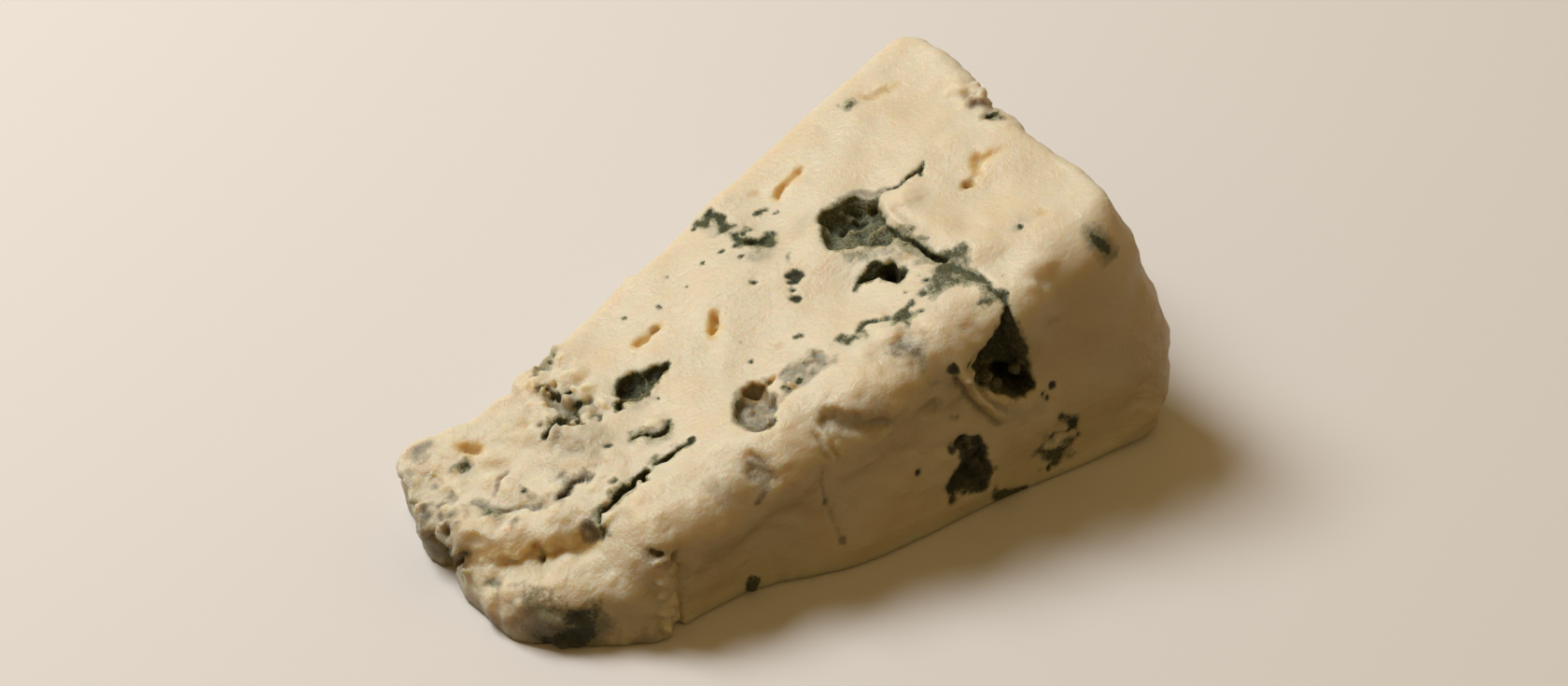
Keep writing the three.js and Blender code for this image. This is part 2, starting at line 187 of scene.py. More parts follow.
def far_side(x, height):
    """The far side: y at a place along the wedge, with height as for the near side."""
    edge = np.interp(x / COS_TOP, *zip(*FAR_EDGE))
    smooth_edge = np.interp(x / COS_TOP, *zip(*[at for at in FAR_EDGE if at[0] not in FAR_NICK]))
    return smooth_edge + (edge - smooth_edge) * smoothstep(0.7, 0.97, height) + FAR_STAND


def parting(line, x):
    """Where across the wedge one of the tip's lines runs."""
    start, slope, curve = line
    past = x - LINES_START
    return start + slope * past + curve * past ** 2


def drop(x, y, ragged):
    """How far the upper surface lies below the plane of the cut."""
    flake = 1 - smoothstep(40, 44, x - 0.12 * y)
    chunk = 1 - smoothstep(-0.5, 0.3, y - parting(CHUNK_LINE, x) + ragged)
    front = (1 - smoothstep(-1, 0.4, y - parting(FRONT_LINE, x) - ragged)) * (1 - chunk)
    before_body = 1 - smoothstep(39, 43.5, x)
    return before_body * (FLAKE_DROP * flake * (1 - chunk) + FRONT_DROP * front + CHUNK_DROP * chunk)


def wedge_sides():
    """How far outside each side a place lies."""
    radius = np.hypot(X, Z)
    belly = RIND_BELLY * np.sin(np.pi * HEIGHT ** 0.55)
    crown = sum(swell_at(Y, swell) for swell in CROWN) + CROWN_FAR * smoothstep(28, 34, Y)
    crown = crown * smoothstep(0.5, 0.95, HEIGHT)
    tip = TIP_RADIUS + (np.interp(Y, *zip(*TIP_FOOT)) - TIP_RADIUS) * smoothstep(*TIP_FOOT_TOP, Z)
    torn_x = X + 0.35 * KNOBS + 0.2 * GRIT
    sides = {
        "upper": Z * COS_TOP - X * SIN_TOP + drop(X, Y, 0.4 * KNOBS + 0.25 * GRIT),
        "under": -Z,
        "near": near_side(torn_x, HEIGHT) - Y,
        "far": Y - far_side(X, HEIGHT),
        "rind": radius - WHEEL_RADIUS - belly - crown,
        "tip": tip - radius,
    }
    return {name: np.broadcast_to(side.astype(np.float32), SHAPE) for name, side in sides.items()}


SIDES = wedge_sides()


def torn():
    """Where the paste is torn or crumbly and not cut smooth: 0 to 1."""
    tip = 1 - smoothstep(43, 50, X)
    far_flake = smoothstep(53, 46, X) * smoothstep(18, 25, Y)
    near_ridge = smoothstep(9, 4, Y) * smoothstep(90, 84, X) * smoothstep(0.2, 0.6, HEIGHT)
    rind = 0.6 * smoothstep(104, 109, X)
    return np.maximum(np.maximum(tip, far_flake), np.maximum(0.55 * near_ridge, rind))


def wedge_field():
    """How far outside the wedge a place lies, with rounded edges and an uneven surface."""
    across = np.maximum(SIDES["near"], SIDES["far"])
    along = np.maximum(SIDES["rind"], SIDES["tip"])
    at_rind = smoothstep(60, 80, X)
    at_far = smoothstep(12, 24, Y)
    high = smoothstep(10, 30, Z) * (1 - at_far)
    corner = (CORNER_ROUND + HIGH_CORNER_ROUND * high) * at_rind
    body = rounded_corner(across, along, corner + (1 - at_rind) * (TIP_CORNER_ROUND - 0.2 * at_far))
    near_rind = smoothstep(100, 107, X) * smoothstep(2, 8, Y)
    ridge_round = RIDGE_ROUND + WORN_RIDGE * smoothstep(44, 50, X) * smoothstep(90, 82, X)
    long_edge = ridge_round + (FAR_ROUND - ridge_round) * smoothstep(10, 30, Y)
    long_edge = long_edge * (TIP_EDGES + (1 - TIP_EDGES) * smoothstep(30, 46, X))
    body = rounded_corner(body, SIDES["upper"], long_edge + near_rind * (RIND_TOP_ROUND - long_edge))
    body = rounded_corner(body, SIDES["under"], FOOT_ROUND * (1 + smoothstep(98, 106, X)))
    rough = torn()
    relief = 0.3 * LUMPS + (0.07 + 0.1 * rough) * KNOBS + (0.015 + 0.04 * rough) * GRIT
    relief = relief - rough * (0.3 * CRUMBLE + 0.12 * FINE_CRUMBLE)
    return (body + relief * smoothstep(0.3, 3.5, Z)).astype(np.float32)


BASE = wedge_field()
field = BASE.copy()
tint = {name: np.zeros(SHAPE, np.float32) for name in TINTS}
tint["torn"] += torn()


# ---- places on the sides ----
def place(side, u, v):
    """The point of a side at its own flat coordinates.
    On the upper cut u is the distance from the axis and v the place across; on the near and far sides u
    runs along the wedge and v is the height; on the tip and the rind u runs across and v is the height;
    on the underside u runs along and v across."""
    if side == "upper":
        return u * COS_TOP, v, u * SIN_TOP
    if side in ("near", "far"):
        across = {"near": near_side, "far": far_side}[side]
        return u, float(across(u, min(1, v / (u * TAN_TOP)))), v
    if side == "under":
        return u, v, 0.0
    return TIP_RADIUS if side == "tip" else math.sqrt(WHEEL_RADIUS ** 2 - v ** 2), u, v


OUTWARDS = {
    "upper": (-SIN_TOP, 0, COS_TOP), "near": (0, -1, 0), "far": (0, 1, 0),
    "under": (0, 0, -1), "tip": (-1, 0, 0), "rind": (1, 0, 0),
}


class Spot:
    """The part of the grid round a feature, with the feature's flat coordinates and the depth there."""

    def __init__(self, side, us, vs, deep=2.0, margin=2.0):
        corners = [
            np.add(place(side, u, v), np.multiply(OUTWARDS[side], out))
            for u in (min(us) - margin, (min(us) + max(us)) / 2, max(us) + margin)
            for v in (min(vs) - margin, max(vs) + margin)
            for out in (-deep - 1.5, 3.0)
        ]
        low, high = np.min(corners, 0), np.max(corners, 0)
        first = [int(np.clip((a - g) / STEP, 0, n - 2)) for a, g, n in zip(low, GRID_LOW, SHAPE)]
        last = [int(np.clip((a - g) / STEP + 2, 2, n)) for a, g, n in zip(high, GRID_LOW, SHAPE)]
        self.where = w = tuple(slice(a, max(a + 1, b)) for a, b in zip(first, last))
        self.xyz = x, y, z = AXES[0][w[0], None, None], AXES[1][None, w[1], None], AXES[2][w[2]]
        flat = {
            "upper": (x * COS_TOP + z * SIN_TOP, y), "near": (x, z), "far": (x, z),
            "under": (x, y), "tip": (y, z), "rind": (y, z),
        }[side]
        self.u, self.v = (np.broadcast_to(part, field[w].shape) for part in flat)
        below_side = -SIDES[side][w]
        self.depth = np.where(below_side < deep + 2.5, -BASE[w], below_side)

    def frayed(self, amount):
        """The flat coordinates, pushed about so that outlines come out ragged."""
        w = self.where
        pushed = [amount * (warp[w] + FINE_FRAY * fray[w]) for warp, fray in zip(WARP, FRAY)]
        return self.u + pushed[0], self.v + pushed[1]

    def above(self, low, high):
        """1 where the depth is less than low, 0 where it is more than high, smooth between."""
        return smoothstep(high, low, self.depth)

    def cut(self, hole, blend=0.3):
        field[self.where] = smooth_max(field[self.where], -hole, blend)

    def add(self, lump, blend):
        field[self.where] = smooth_min(field[self.where], lump, blend)

    def push(self, inwards):
        field[self.where] += inwards

    def paint(self, tints, amount):
        for name, strength in tints.items():
            tint[name][self.where] = np.maximum(tint[name][self.where], strength * amount)

    def wash(self, names, amount):
        """Takes tints away where amount is 1."""
        for name in names:
            tint[name][self.where] *= 1 - amount


def outline_distance(outline, u, v):
    """Distance to a closed outline, negative inside."""
    nearest = np.full(u.shape, 1e9)
    inside = np.zeros(u.shape, bool)
    for (au, av), (bu, bv) in zip(outline, outline[1:] + outline[:1]):
        eu, ev = bu - au, bv - av
        t = np.clip(((u - au) * eu + (v - av) * ev) / (eu * eu + ev * ev), 0, 1)
        nearest = np.minimum(nearest, np.hypot(u - au - t * eu, v - av - t * ev))
        if ev:
            inside ^= ((av > v) != (bv > v)) & (u < eu * (v - av) / ev + au)
    return np.where(inside, -nearest, nearest)


def line_distance(line, u, v):
    """Distance to a line through the points, and how far along it the nearest place is: 0 to 1."""
    lengths = [math.dist(a, b) for a, b in zip(line, line[1:])]
    total, done = sum(lengths), 0.0
    nearest = np.full(u.shape, 1e9)
    along = np.zeros(u.shape)
    for (au, av), (bu, bv), length in zip(line, line[1:], lengths):
        eu, ev = bu - au, bv - av
        t = np.clip(((u - au) * eu + (v - av) * ev) / (length * length), 0, 1)
        distance = np.hypot(u - au - t * eu, v - av - t * ev)
        along = np.where(distance < nearest, (done + t * length) / total, along)
        nearest = np.minimum(nearest, distance)
        done += length
    return nearest, along


def ellipse(u, v, long, wide, turn=0.0):
    """A closed outline round u, v."""
    angles = [2 * math.pi * i / ELLIPSE_POINTS for i in range(ELLIPSE_POINTS)]
    c, s = math.cos(turn), math.sin(turn)
    ring = [(long * math.cos(a), wide * math.sin(a)) for a in angles]
    return [(u + c * a - s * b, v + s * a + c * b) for a, b in ring]


# ---- what the paste has in it ----
def pocket(outline, deep, slope=0.3, ragged=0.3, grit=0.12, halo=0.0, rim=0.35, side="upper", **tints):
    """A hole with this outline and depth.  Its walls lean in by slope, and its tints start below the
    rim.  A halo greys the paste for that far round it."""
    spot = Spot(side, *zip(*outline), deep=deep, margin=2.5 + halo)
    flat = outline_distance(outline, *spot.frayed(ragged))
    w = spot.where
    bottom = spot.depth - deep * (1 + 0.12 * WARP[0][w]) + 0.12 * flat
    hole = smooth_max(flat + slope * spot.depth, bottom, 0.9) + grit * FRAY[0][w]
    spot.cut(hole)
    lined = smoothstep(rim - 0.4, rim + 0.3, spot.depth + 0.15 * FRAY[1][w])
    spot.paint(tints, smoothstep(0.75, 0.15, hole) * lined)
    if halo:
        spot.paint({"grey": 0.75}, smoothstep(halo, 0, flat) * spot.above(1, 2.5))


def crack(line, width, deep, ragged=0.25, taper=0.25, halo=0.5, side="upper", **tints):
    """A crack along a line.  It narrows with depth and towards its ends."""
    spot = Spot(side, *zip(*line), deep=deep, margin=2.0)
    distance, along = line_distance(line, *spot.frayed(ragged))
    ends = np.minimum(1, taper + 3 * np.minimum(along, 1 - along))
    half = width / 2 * ends * (1 + 0.25 * WARP[1][spot.where])
    sunk = np.clip(1 - spot.depth / deep, 0, 1)
    hole = np.maximum(distance - half * sunk ** 0.6, spot.depth - deep * ends)
    spot.cut(hole, 0.2)
    spot.paint(tints, smoothstep(halo, 0.0, hole) * smoothstep(-0.3, 0.35, spot.depth))


def groove(line, width, deep, ragged=0.2, side="upper", **tints):
    """A shallow crease, or with a negative depth a raised fold."""
    spot = Spot(side, *zip(*line), margin=1.5 + 2 * width)
    distance, along = line_distance(line, *spot.frayed(ragged))
    ends = smoothstep(0, 0.2, along) * smoothstep(1, 0.8, along)
    dent = np.exp(-((distance / width) ** 2)) * (0.3 + 0.7 * ends)
    spot.push(deep * dent * spot.above(1.5, 3))
    spot.paint(tints, smoothstep(1.4, 0.5, distance / width) * spot.above(1, 2))


def swelling(outline, height, soft=3.0, side="upper"):
    """The surface stands proud inside the outline, or lies lower with a negative height."""
    spot = Spot(side, *zip(*outline), margin=soft + 1)
    amount = smoothstep(soft * 0.6, -soft * 0.6, outline_distance(outline, *spot.frayed(0.2)))
    spot.push(-height * amount * spot.above(2, 4))


def stain(outline, soft=0.8, ragged=0.45, reach=1.6, side="upper", **tints):
    """Colour only, down to a small depth."""
    spot = Spot(side, *zip(*outline), margin=2 + soft)
    amount = smoothstep(soft, -soft * 0.6, outline_distance(outline, *spot.frayed(ragged)))
    spot.paint(tints, amount * spot.above(reach, reach + 0.8))


def stains(places, long, wide, **looks):
    """A stain at each place, long and wide as shares of its radius."""
    for u, v, radius in places:
        stain(ellipse(u, v, long * radius, wide * radius), **looks)


def crumble(outline, by, soft=1.5, side="upper"):
    """Crumbly relief inside an outline."""
    spot = Spot(side, *zip(*outline), margin=soft + 1)
    w = spot.where
    amount = smoothstep(soft, -soft * 0.5, outline_distance(outline, *spot.frayed(0.4)))
    spot.push(by * (0.6 * GRIT[w] - FINE_CRUMBLE[w]) * amount * spot.above(1.5, 3))


def streak(line, width, ragged=0.3, reach=1.6, side="upper", **tints):
    """A stain along a line."""
    spot = Spot(side, *zip(*line), margin=2 + width)
    distance, _ = line_distance(line, *spot.frayed(ragged))
    spot.paint(tints, smoothstep(width, width * 0.35, distance) * spot.above(reach, reach + 0.8))


def speck(u, v, radius, deep=0.25, side="upper", **tints):
    """A small spot in a shallow pinhole."""
    spot = Spot(side, (u,), (v,), margin=radius + 1.5)
    uu, vv = spot.frayed(0.15)
    distance = np.hypot(uu - u, vv - v) / radius
    spot.push(deep * np.exp(-(distance ** 2) * 1.4) * spot.above(1, 2))
    spot.paint(tints, smoothstep(1.25, 0.6, distance) * spot.above(1, 2))


def specks(places, **looks):
    for u, v, radius in places:
        speck(u, v, radius, **looks)


def crumb(u, v, size, turn, seed, lift, blend=0.35, clean=0.0, side="upper", **tints):
    """A broken block of paste with this half size and flat faces at random angles.  It is lifted out of
    the side, and clean of the tints round it by a share."""
    size = np.broadcast_to(size, 3)
    spot = Spot(side, (u,), (v,), deep=max(size), margin=max(size) + 1)
    middle = np.subtract(place(side, u, v), np.multiply(OUTWARDS[side], -lift))
    px, py, pz = (places - at for places, at in zip(spot.xyz, middle))
    rng = np.random.default_rng(seed)
    normals = rng.standard_normal((CRUMB_FACES, 3))
    normals /= np.linalg.norm(normals, axis=1)[:, None]
    axes = np.array(Matrix.Rotation(turn, 3, "Z"))
    block = np.full(spot.depth.shape, -1e9)
    for normal in normals:
        n = axes @ normal
        reach = np.linalg.norm(normal * size) * rng.uniform(0.72, 1.0)
        block = smooth_max(block, n[0] * px + n[1] * py + n[2] * pz - reach, 0.25)
    block = smooth_max(block, np.sqrt(px ** 2 + py ** 2 + pz ** 2) - 1.1 * max(size), 0.3)
    spot.add(block + 0.06 * GRIT[spot.where], blend)
    spot.wash(("mould", "smudge", "brown", "grey"), clean * smoothstep(0.25, -0.1, block))
    spot.paint(tints, smoothstep(0.35, 0.0, block))


def crumbs(blocks, seed, turn=1, **looks):
    """Blocks at these places, with their sizes and lifts, each broken and turned in its own way."""
    for i, (u, v, size, lift) in enumerate(blocks):
        crumb(u, v, size, turn * i, seed + i, lift, **looks)


def bulge(u, v, below, long, wide, thick, blend=2.0, clean=0.0):
    """A rounded swelling of the upper cut, with its centre that far below the cut."""
    spot = Spot("upper", (u - long, u + long), (v - wide, v + wide), deep=below + thick)
    w = spot.where
    x, _, z = spot.xyz
    above = z * COS_TOP - x * SIN_TOP + below
    ball = np.sqrt(((spot.u - u) / long) ** 2 + ((spot.v - v) / wide) ** 2 + (above / thick) ** 2)
    lump = (ball - 1) * min(long, wide, thick) + 0.12 * KNOBS[w] + 0.06 * GRIT[w]
    spot.add(lump, blend)
    spot.wash(("pit",), clean * smoothstep(0.5, 0.0, lump))


def ridge():
    """The swellings along the near edge of the upper cut, and the hollows between them.
    The hollows, the notch and the places under the swellings carry painted shade.
    """
    swellings = (  # place, depth of the middle, half length, width and thickness, and blend
        (75, 4.2, 3.5, 6.8, 4.9, 4.2, 2), (62.4, 3.8, 3.8, 5.2, 4.4, 4.2, 2),
        (51.2, 3.8, 3.8, 5.6, 4.2, 4.1, 2), (84.8, 4.6, 3.2, 3.6, 4.6, 3.9, 1.2),
        (43.6, 5.2, 4.8, 3.2, 3.4, 3.8, 2),
    )
    for lobe in swellings:
        bulge(*lobe)
    hollow = [(67.2, 19.8), (69.6, 19.6), (71.4, 19), (72.5, 18), (71.3, 17.4), (68.7, 17.8), (66, 18.8)]
    swelling(hollow, -0.9, soft=1.4, side="near")
    # painted shade in the hollow under a swelling
    stain(hollow, soft=1.8, ragged=0.3, reach=3, brown=0.4, side="near")
    for line in ([(65.1, 18.6), (65.4, 16.8), (65.7, 15.1)], [(66, 17.6), (66.5, 16.3), (66.9, 15.2)]):
        groove(line, 0.35, -0.5, ragged=0.1, side="near")
        groove([(u - 0.6, v) for u, v in line], 0.35, 0.5, ragged=0.1, side="near")
    notch = [(56.6, 16.9), (58, 16.9), (58.6, 15.9), (57.6, 15.3), (56.4, 15.8)]
    swelling(notch, -0.9, soft=1.8, side="near")
    # painted shade in the notch
    stain(notch, soft=1.3, ragged=0.3, reach=3, brown=0.5, smudge=0.2, side="near")
    groove([(56, 18.6), (56.9, 17.6), (57.9, 16.7)], 0.4, 0.5, ragged=0.1, side="near")
    # painted shade below the notch
    streak([(57.3, 15.3), (57, 14.7), (56.5, 14), (55.7, 13)], 0.6, smudge=0.6, brown=0.25, side="near")
    # painted shade under the ridge
    painted_shade_spots = ((51.6, 14.9, 1), (70.6, 19.8, 1.4), (79, 16.8, 1.2), (67.7, 18.2, 1))
    stains(painted_shade_spots, 1, 0.6, soft=1.8, ragged=0.3, reach=3, brown=0.3, side="near")
    # a painted tan glow beside the notch
    stain(ellipse(58.4, 15.8, 0.8, 0.6), soft=0.9, ragged=0.15, reach=3, pit=0.5, side="near")


def blue_pockets():
    """The pockets of the upper cut that are lined with mould."""
    large = [(85.5, 28.4), (86.5, 28.9), (89.2, 29), (90.5, 28.9), (91.2, 26.9), (92.1, 26.3), (91.8, 24.9),
        (91, 23.5), (90.5, 21.9), (90.6, 19.2), (89.2, 18.5), (87.9, 19.1), (86.7, 20.3), (85.4, 21.3),
        (83.4, 23.1), (83.5, 24.3), (84.4, 26.3)]
    pocket(large, 2, slope=0.25, ragged=0.12, grit=0.18, halo=0.9, rim=0.1, mould=0.72, powder=0.6)
    deepest = [(86.2, 28.3), (88.7, 28.4), (90.4, 27.6), (91.3, 25.6), (89.8, 24.8), (87.6, 25),
        (85.6, 24.8), (85.2, 27)]
    pocket(deepest, 3.4, slope=0.4, ragged=0.1, grit=0.14, mould=0.85, powder=0.35)
    rim = [(90.4, 22.5), (90.3, 20.5), (90.4, 18), (91.1, 17.3), (91, 14.4), (91.1, 13.2), (92.3, 11.5)]
    crack(rim, 0.6, 1.8, ragged=0.12, taper=0.5, mould=0.9)
    streak(rim, 1.6, ragged=0.6, mould=0.42, grey=0.9)
    between = [(84, 22.6), (86.2, 19.8), (88, 18.4), (90.6, 18.8), (91.4, 15), (91, 12), (89.4, 14),
        (88.4, 17), (85.4, 18.2)]
    stain(between, soft=1.4, ragged=0.8, grey=1, mould=0.3, smudge=0.25)
    groove([(92.8, 26.4), (91.9, 24.6), (91.4, 22.3), (91.4, 20.2), (92, 17)], 0.5, -0.5, ragged=0.05)

    hole = [(86.5, 17.1), (87.4, 16.4), (87.3, 14.8), (87.9, 13.9), (86.4, 12.9), (85.8, 14.1),
        (85.1, 15.4)]
    pocket(hole, 4, slope=0.15, ragged=0.1, halo=0.8, mould=1)
    tail = [(86.4, 17.2), (85.4, 17.6), (83.6, 17.4), (82.4, 16.6), (84.2, 16), (85.4, 15.2), (86.4, 13.6)]
    pocket(tail, 1.5, slope=0.4, ragged=0.2, grit=0.16, rim=0, mould=0.8, powder=0.25)
    swelling(ellipse(88.8, 16.6, 0.9, 1.2), 0.5, soft=1)

    small = [(53.5, 23.6), (54.8, 24.7), (56.7, 25.1), (57, 24.3), (57.6, 23.6), (59.4, 23.3), (60.1, 22.3),
        (59.5, 21.7), (57.1, 21.4), (55, 21.1), (53.8, 21.6), (52.5, 21.5), (52.6, 22.2), (53.5, 22.5)]
    pocket(small, 1.5, slope=0.4, ragged=0.15, grit=0.2, halo=0.8, rim=0, mould=0.72, powder=0.35)
    deepest = [(53.9, 23.9), (56.1, 24.9), (57.3, 23.6), (59.1, 23.2), (59.9, 22.4), (57.1, 22.4),
        (56.1, 23.2), (54.7, 22.9)]
    pocket(deepest, 2.2, slope=0.2, ragged=0.12, mould=0.95)
    stain([(53, 21), (58.5, 20.8), (57.5, 19.6), (54, 19.6)], soft=1, grey=0.9, mould=0.12)
    speck(52.7, 21.4, 0.5, mould=0.7)


def brown_pocket():
    """The pocket behind the ridge, with painted shade and a painted tan glow in it, and the grey patch
    beside it.
    """
    rim = [(64.2, 13.2), (62.8, 12.1), (61.1, 9.7), (61.2, 6.3), (61.7, 5), (62.6, 4.6), (63.8, 5.1),
        (65.1, 6.6), (66.5, 9), (66.5, 12.4)]
    pocket(rim, 1.2, grit=0.22, rim=0.1, grey=1, smudge=0.35, brown=0.3)
    # painted shade along the left rim, partly mould
    streak([(63.4, 12.8), (62, 11), (61.4, 9), (61.4, 6.6)], 0.8, ragged=0.4, reach=3, mould=0.5,
        smudge=0.8)
    streak([(61.8, 5.2), (63, 5), (64.4, 6.2)], 0.8, ragged=0.4, reach=3, mould=0.6)
    # the hole's walls carry a painted tan glow and painted shade
    hole = [(63.8, 12.6), (64.4, 13.4), (65.8, 13.6), (67, 12.8), (66.6, 11.5), (65.4, 11), (64.6, 11.6)]
    pocket(hole, 2.2, slope=0.25, ragged=0.1, pit=0.7, brown=0.6, smudge=0.3)
    pocket([(66, 12.6), (68.2, 12.1), (67.2, 11.4), (66, 11.6)], 1, slope=0.45, ragged=0.1, pit=0.75)
    rough = [(67.2, 9), (68.5, 9.6), (70.2, 11.2), (72.1, 11.9), (73.4, 11.6), (73.9, 10.4), (72.8, 9.1),
        (71.1, 9), (68.4, 8.3)]
    stain(rough, soft=1.2, ragged=0.8, grey=1, smudge=0.5, mould=0.15)
    crumble(rough, 0.5, soft=0.8)
    specks(((67.7, 9.6, 0.4), (68.6, 9.2, 0.35), (69.5, 8.9, 0.5), (71.4, 10.8, 0.4)), mould=0.66)


def cracks():
    """The cracks of the upper cut, with the mould that has crept along them."""
    head = [(55.8, 10.3), (53.2, 10.4), (51.4, 10.3), (49.6, 10.4), (48.5, 10.3), (47.3, 10), (46, 9.7)]
    foot = [(45, 9.5), (44.2, 9.3), (43.2, 9.1), (42.2, 8.5), (41.4, 7.7)]
    crack(head + foot, 0.85, 1.8, ragged=0.16, taper=0.2, halo=0.55, mould=0.85)
    streak([(46.4, 9.4), *foot[:-1]], 0.7, mould=0.5, smudge=0.7)
    streak(head[1:] + foot, 1.2, ragged=0.6, mould=0.36, smudge=0.3)
    crack([(49.4, 10.2), (49, 9.2), (48.6, 8.6)], 0.6, 1.2, mould=0.8)
    loose = ((50.4, 10.7), (47.4, 10.6), (45.6, 8.9), (44, 9.8), (48.2, 9.7), (42.9, 8.6))
    crumbs([(u, v, (0.5, 0.4, 0.5), -0.2) for u, v in loose], 120, blend=0.2, clean=0.9)
    speck(55.8, 10.2, 0.55, mould=0.95)
    speck(46, 11.7, 0.6, deep=0.5, mould=0.6, brown=0.4)
    swelling(ellipse(43.4, 10.6, 2, 0.9), 0.5, soft=1.2)

    crescent = [(50.6, 15.9), (51.6, 16), (52.6, 15.7), (53.1, 14.7), (54.2, 14.4), (55, 14.7),
        (55.8, 15.6)]
    crack(crescent, 0.6, 1.3, ragged=0.07, taper=0.15, halo=0.4, mould=0.85)
    stain([(52.6, 13.6), (54, 12.8), (55, 13.4), (54.6, 14.4), (53, 14.4)], soft=0.9, grey=0.8, mould=0.24)
    streak(crescent, 1, ragged=0.5, mould=0.25, grey=0.8)
    swelling(ellipse(54, 16.2, 1.4, 0.8), 0.5, soft=0.8)

    blobs = (  # the mottled mould between the large pocket and the ridge
        [(88.6, 10.4), (90, 12), (92.4, 12.4), (93, 9.6), (92.3, 7.1), (90.6, 7), (89.4, 8.2)],
        [(91.8, 7.1), (92.4, 6.1), (92.8, 4.8), (92.3, 3.3), (91.2, 3.6), (90.8, 5.3), (91, 6.6)],
    )
    for blob in blobs:
        stain(blob, soft=1.5, ragged=0.9, mould=0.56, powder=0.35, smudge=0.3)
    swelling([(92.4, 24.5), (95, 24.8), (96, 16), (97, 9), (94, 9), (92.8, 13), (92, 20)], 0.6)
    streak([(91.4, 12), (92, 9.6), (92.6, 7.4), (92.8, 4.8), (92.8, 3)], 1, ragged=0.5, mould=0.68)
    groove([(92.2, 10.4), (92.9, 8), (93.2, 5), (93.1, 2)], 0.5, 0.4)
    dots = ((87.2, 9.5, 0.6), (85.6, 8.6, 0.4), (91.6, 11.7, 0.6), (91.1, 12.6, 0.5), (88.6, 11, 0.4))
    specks(dots, mould=0.7, grey=0.8)

    arc = [(78.8, 9.9), (79.8, 10.5), (80.6, 10.4), (82, 9.9), (82.9, 8.8)]
    groove(arc, 0.4, 0.4, mould=0.66)
    thick = [(82.7, 8.2), (83.4, 8.9), (84.4, 8.3), (84.6, 7.4), (83.9, 6.4), (83.1, 6.5)]
    pocket(thick, 0.5, slope=0.8, grit=0.2, rim=-0.3, halo=1.4, mould=0.66, powder=0.4)
    streak([(84.2, 7.6), (85.1, 8.5), (85.8, 8.8)], 0.5, mould=0.6)
    streak([(79, 9.5), (78.5, 8.2)], 0.5, mould=0.5, grey=0.8)
    stain([(80, 4.6), (82.1, 5.4), (81.8, 2.5), (80.4, 2.4)], soft=1.4, grey=0.9, smudge=0.6, brown=0.15)
    stain([(75.8, 9.3), (77, 10.6), (78.1, 9.3), (77, 8.6)], soft=0.6, mould=0.62, grey=0.8)
    speck(83.7, 4.2, 0.6, deep=-0.2, brown=0.4)
    swelling(ellipse(80.8, 7.2, 1.4, 1.4), 0.6, soft=1.2)

    fine = [(92.6, 26.5), (93.5, 26.6), (94.8, 26), (96.7, 26.2), (98.1, 26.3), (99.4, 27)]
    crack(fine, 0.35, 0.7, ragged=0.15, taper=0.4, halo=0.4, mould=0.7)
    crack([(98.1, 26.3), (97.5, 25.3)], 0.35, 0.5, ragged=0.1, halo=0.4, mould=0.6)
    streak([(89.2, 28.9), (91.2, 28.6), (92.8, 26.9)], 1.2, grey=0.7, smudge=0.6)
    swelling(ellipse(94, 23.4, 2, 1.6), 0.4, soft=1.6)


def clean_pits():
    """Pockets that no mould has reached: their walls carry a painted tan glow, which stands in for light
    through the paste.
    """
    slot = [(35.9, 31.2), (37, 30.8), (38.3, 29.4), (38.1, 28.8), (37.8, 28.2), (36.4, 29.4), (35.8, 30.2)]
    pocket(slot, 0.8, slope=0.05, ragged=0.03, grit=0.04, rim=-0.1, pit=0.7)
    butterfly = [(58.8, 28.3), (60, 28.9), (61.2, 28.7), (62.4, 29.2), (63.2, 28.7), (62.7, 27.8),
        (61.6, 28), (60.5, 27.5), (59.2, 27.4)]
    pocket(butterfly, 1.1, ragged=0.12, grit=0.05, rim=0.1, pit=0.85)
    stain(ellipse(62.6, 28.6, 0.7, 0.6), soft=0.5, brown=0.3)
    tear = [(66.3, 23.3), (66.3, 22.4), (66.8, 22.7), (67.7, 23.2), (68.4, 24), (69.3, 24.5), (68.4, 25.4),
        (67.2, 24.6)]
    pocket(tear, 1.8, ragged=0.1, grit=0.05, rim=0.1, pit=0.95)
    zigzag = [(83.7, 35.1), (83.8, 36.2), (84.6, 37), (85.6, 37.1), (88.7, 37.4), (88.2, 36.4),
        (86.7, 36.3), (85.6, 36.2), (84.6, 35.5)]
    pocket(zigzag, 1.2, ragged=0.1, grit=0.05, rim=0.1, pit=0.85)
    hole = [(100.1, 20.9), (100.7, 21.4), (101.7, 20.7), (101.2, 19.6), (100, 20.4)]
    pocket(hole, 1.5, ragged=0.12, rim=0, pit=0.85, brown=0.3)
    fork = [(101.8, 20.6), (103.4, 23.3), (104.4, 23.8), (105, 22.7), (106, 23.2), (105.8, 22.1),
        (104, 21.6), (102.7, 20.5)]
    pocket(fork, 0.9, slope=0.5, ragged=0.15, grit=0.06, rim=0, pit=0.75)
    groove([(105.4, 22.5), (107.5, 21.9)], 0.4, 0.3, pit=0.4)
    groove([(100.5, 42.1), (101.2, 41), (104.5, 40.6)], 0.6, 0.4, pit=0.5)
    for u, v, radius, amount in ((71, 15.8, 0.6, 0.35), (82.7, 38.4, 0.6, 0.4), (103.9, 9.9, 0.8, 0.5)):
        speck(u, v, radius, pit=amount)


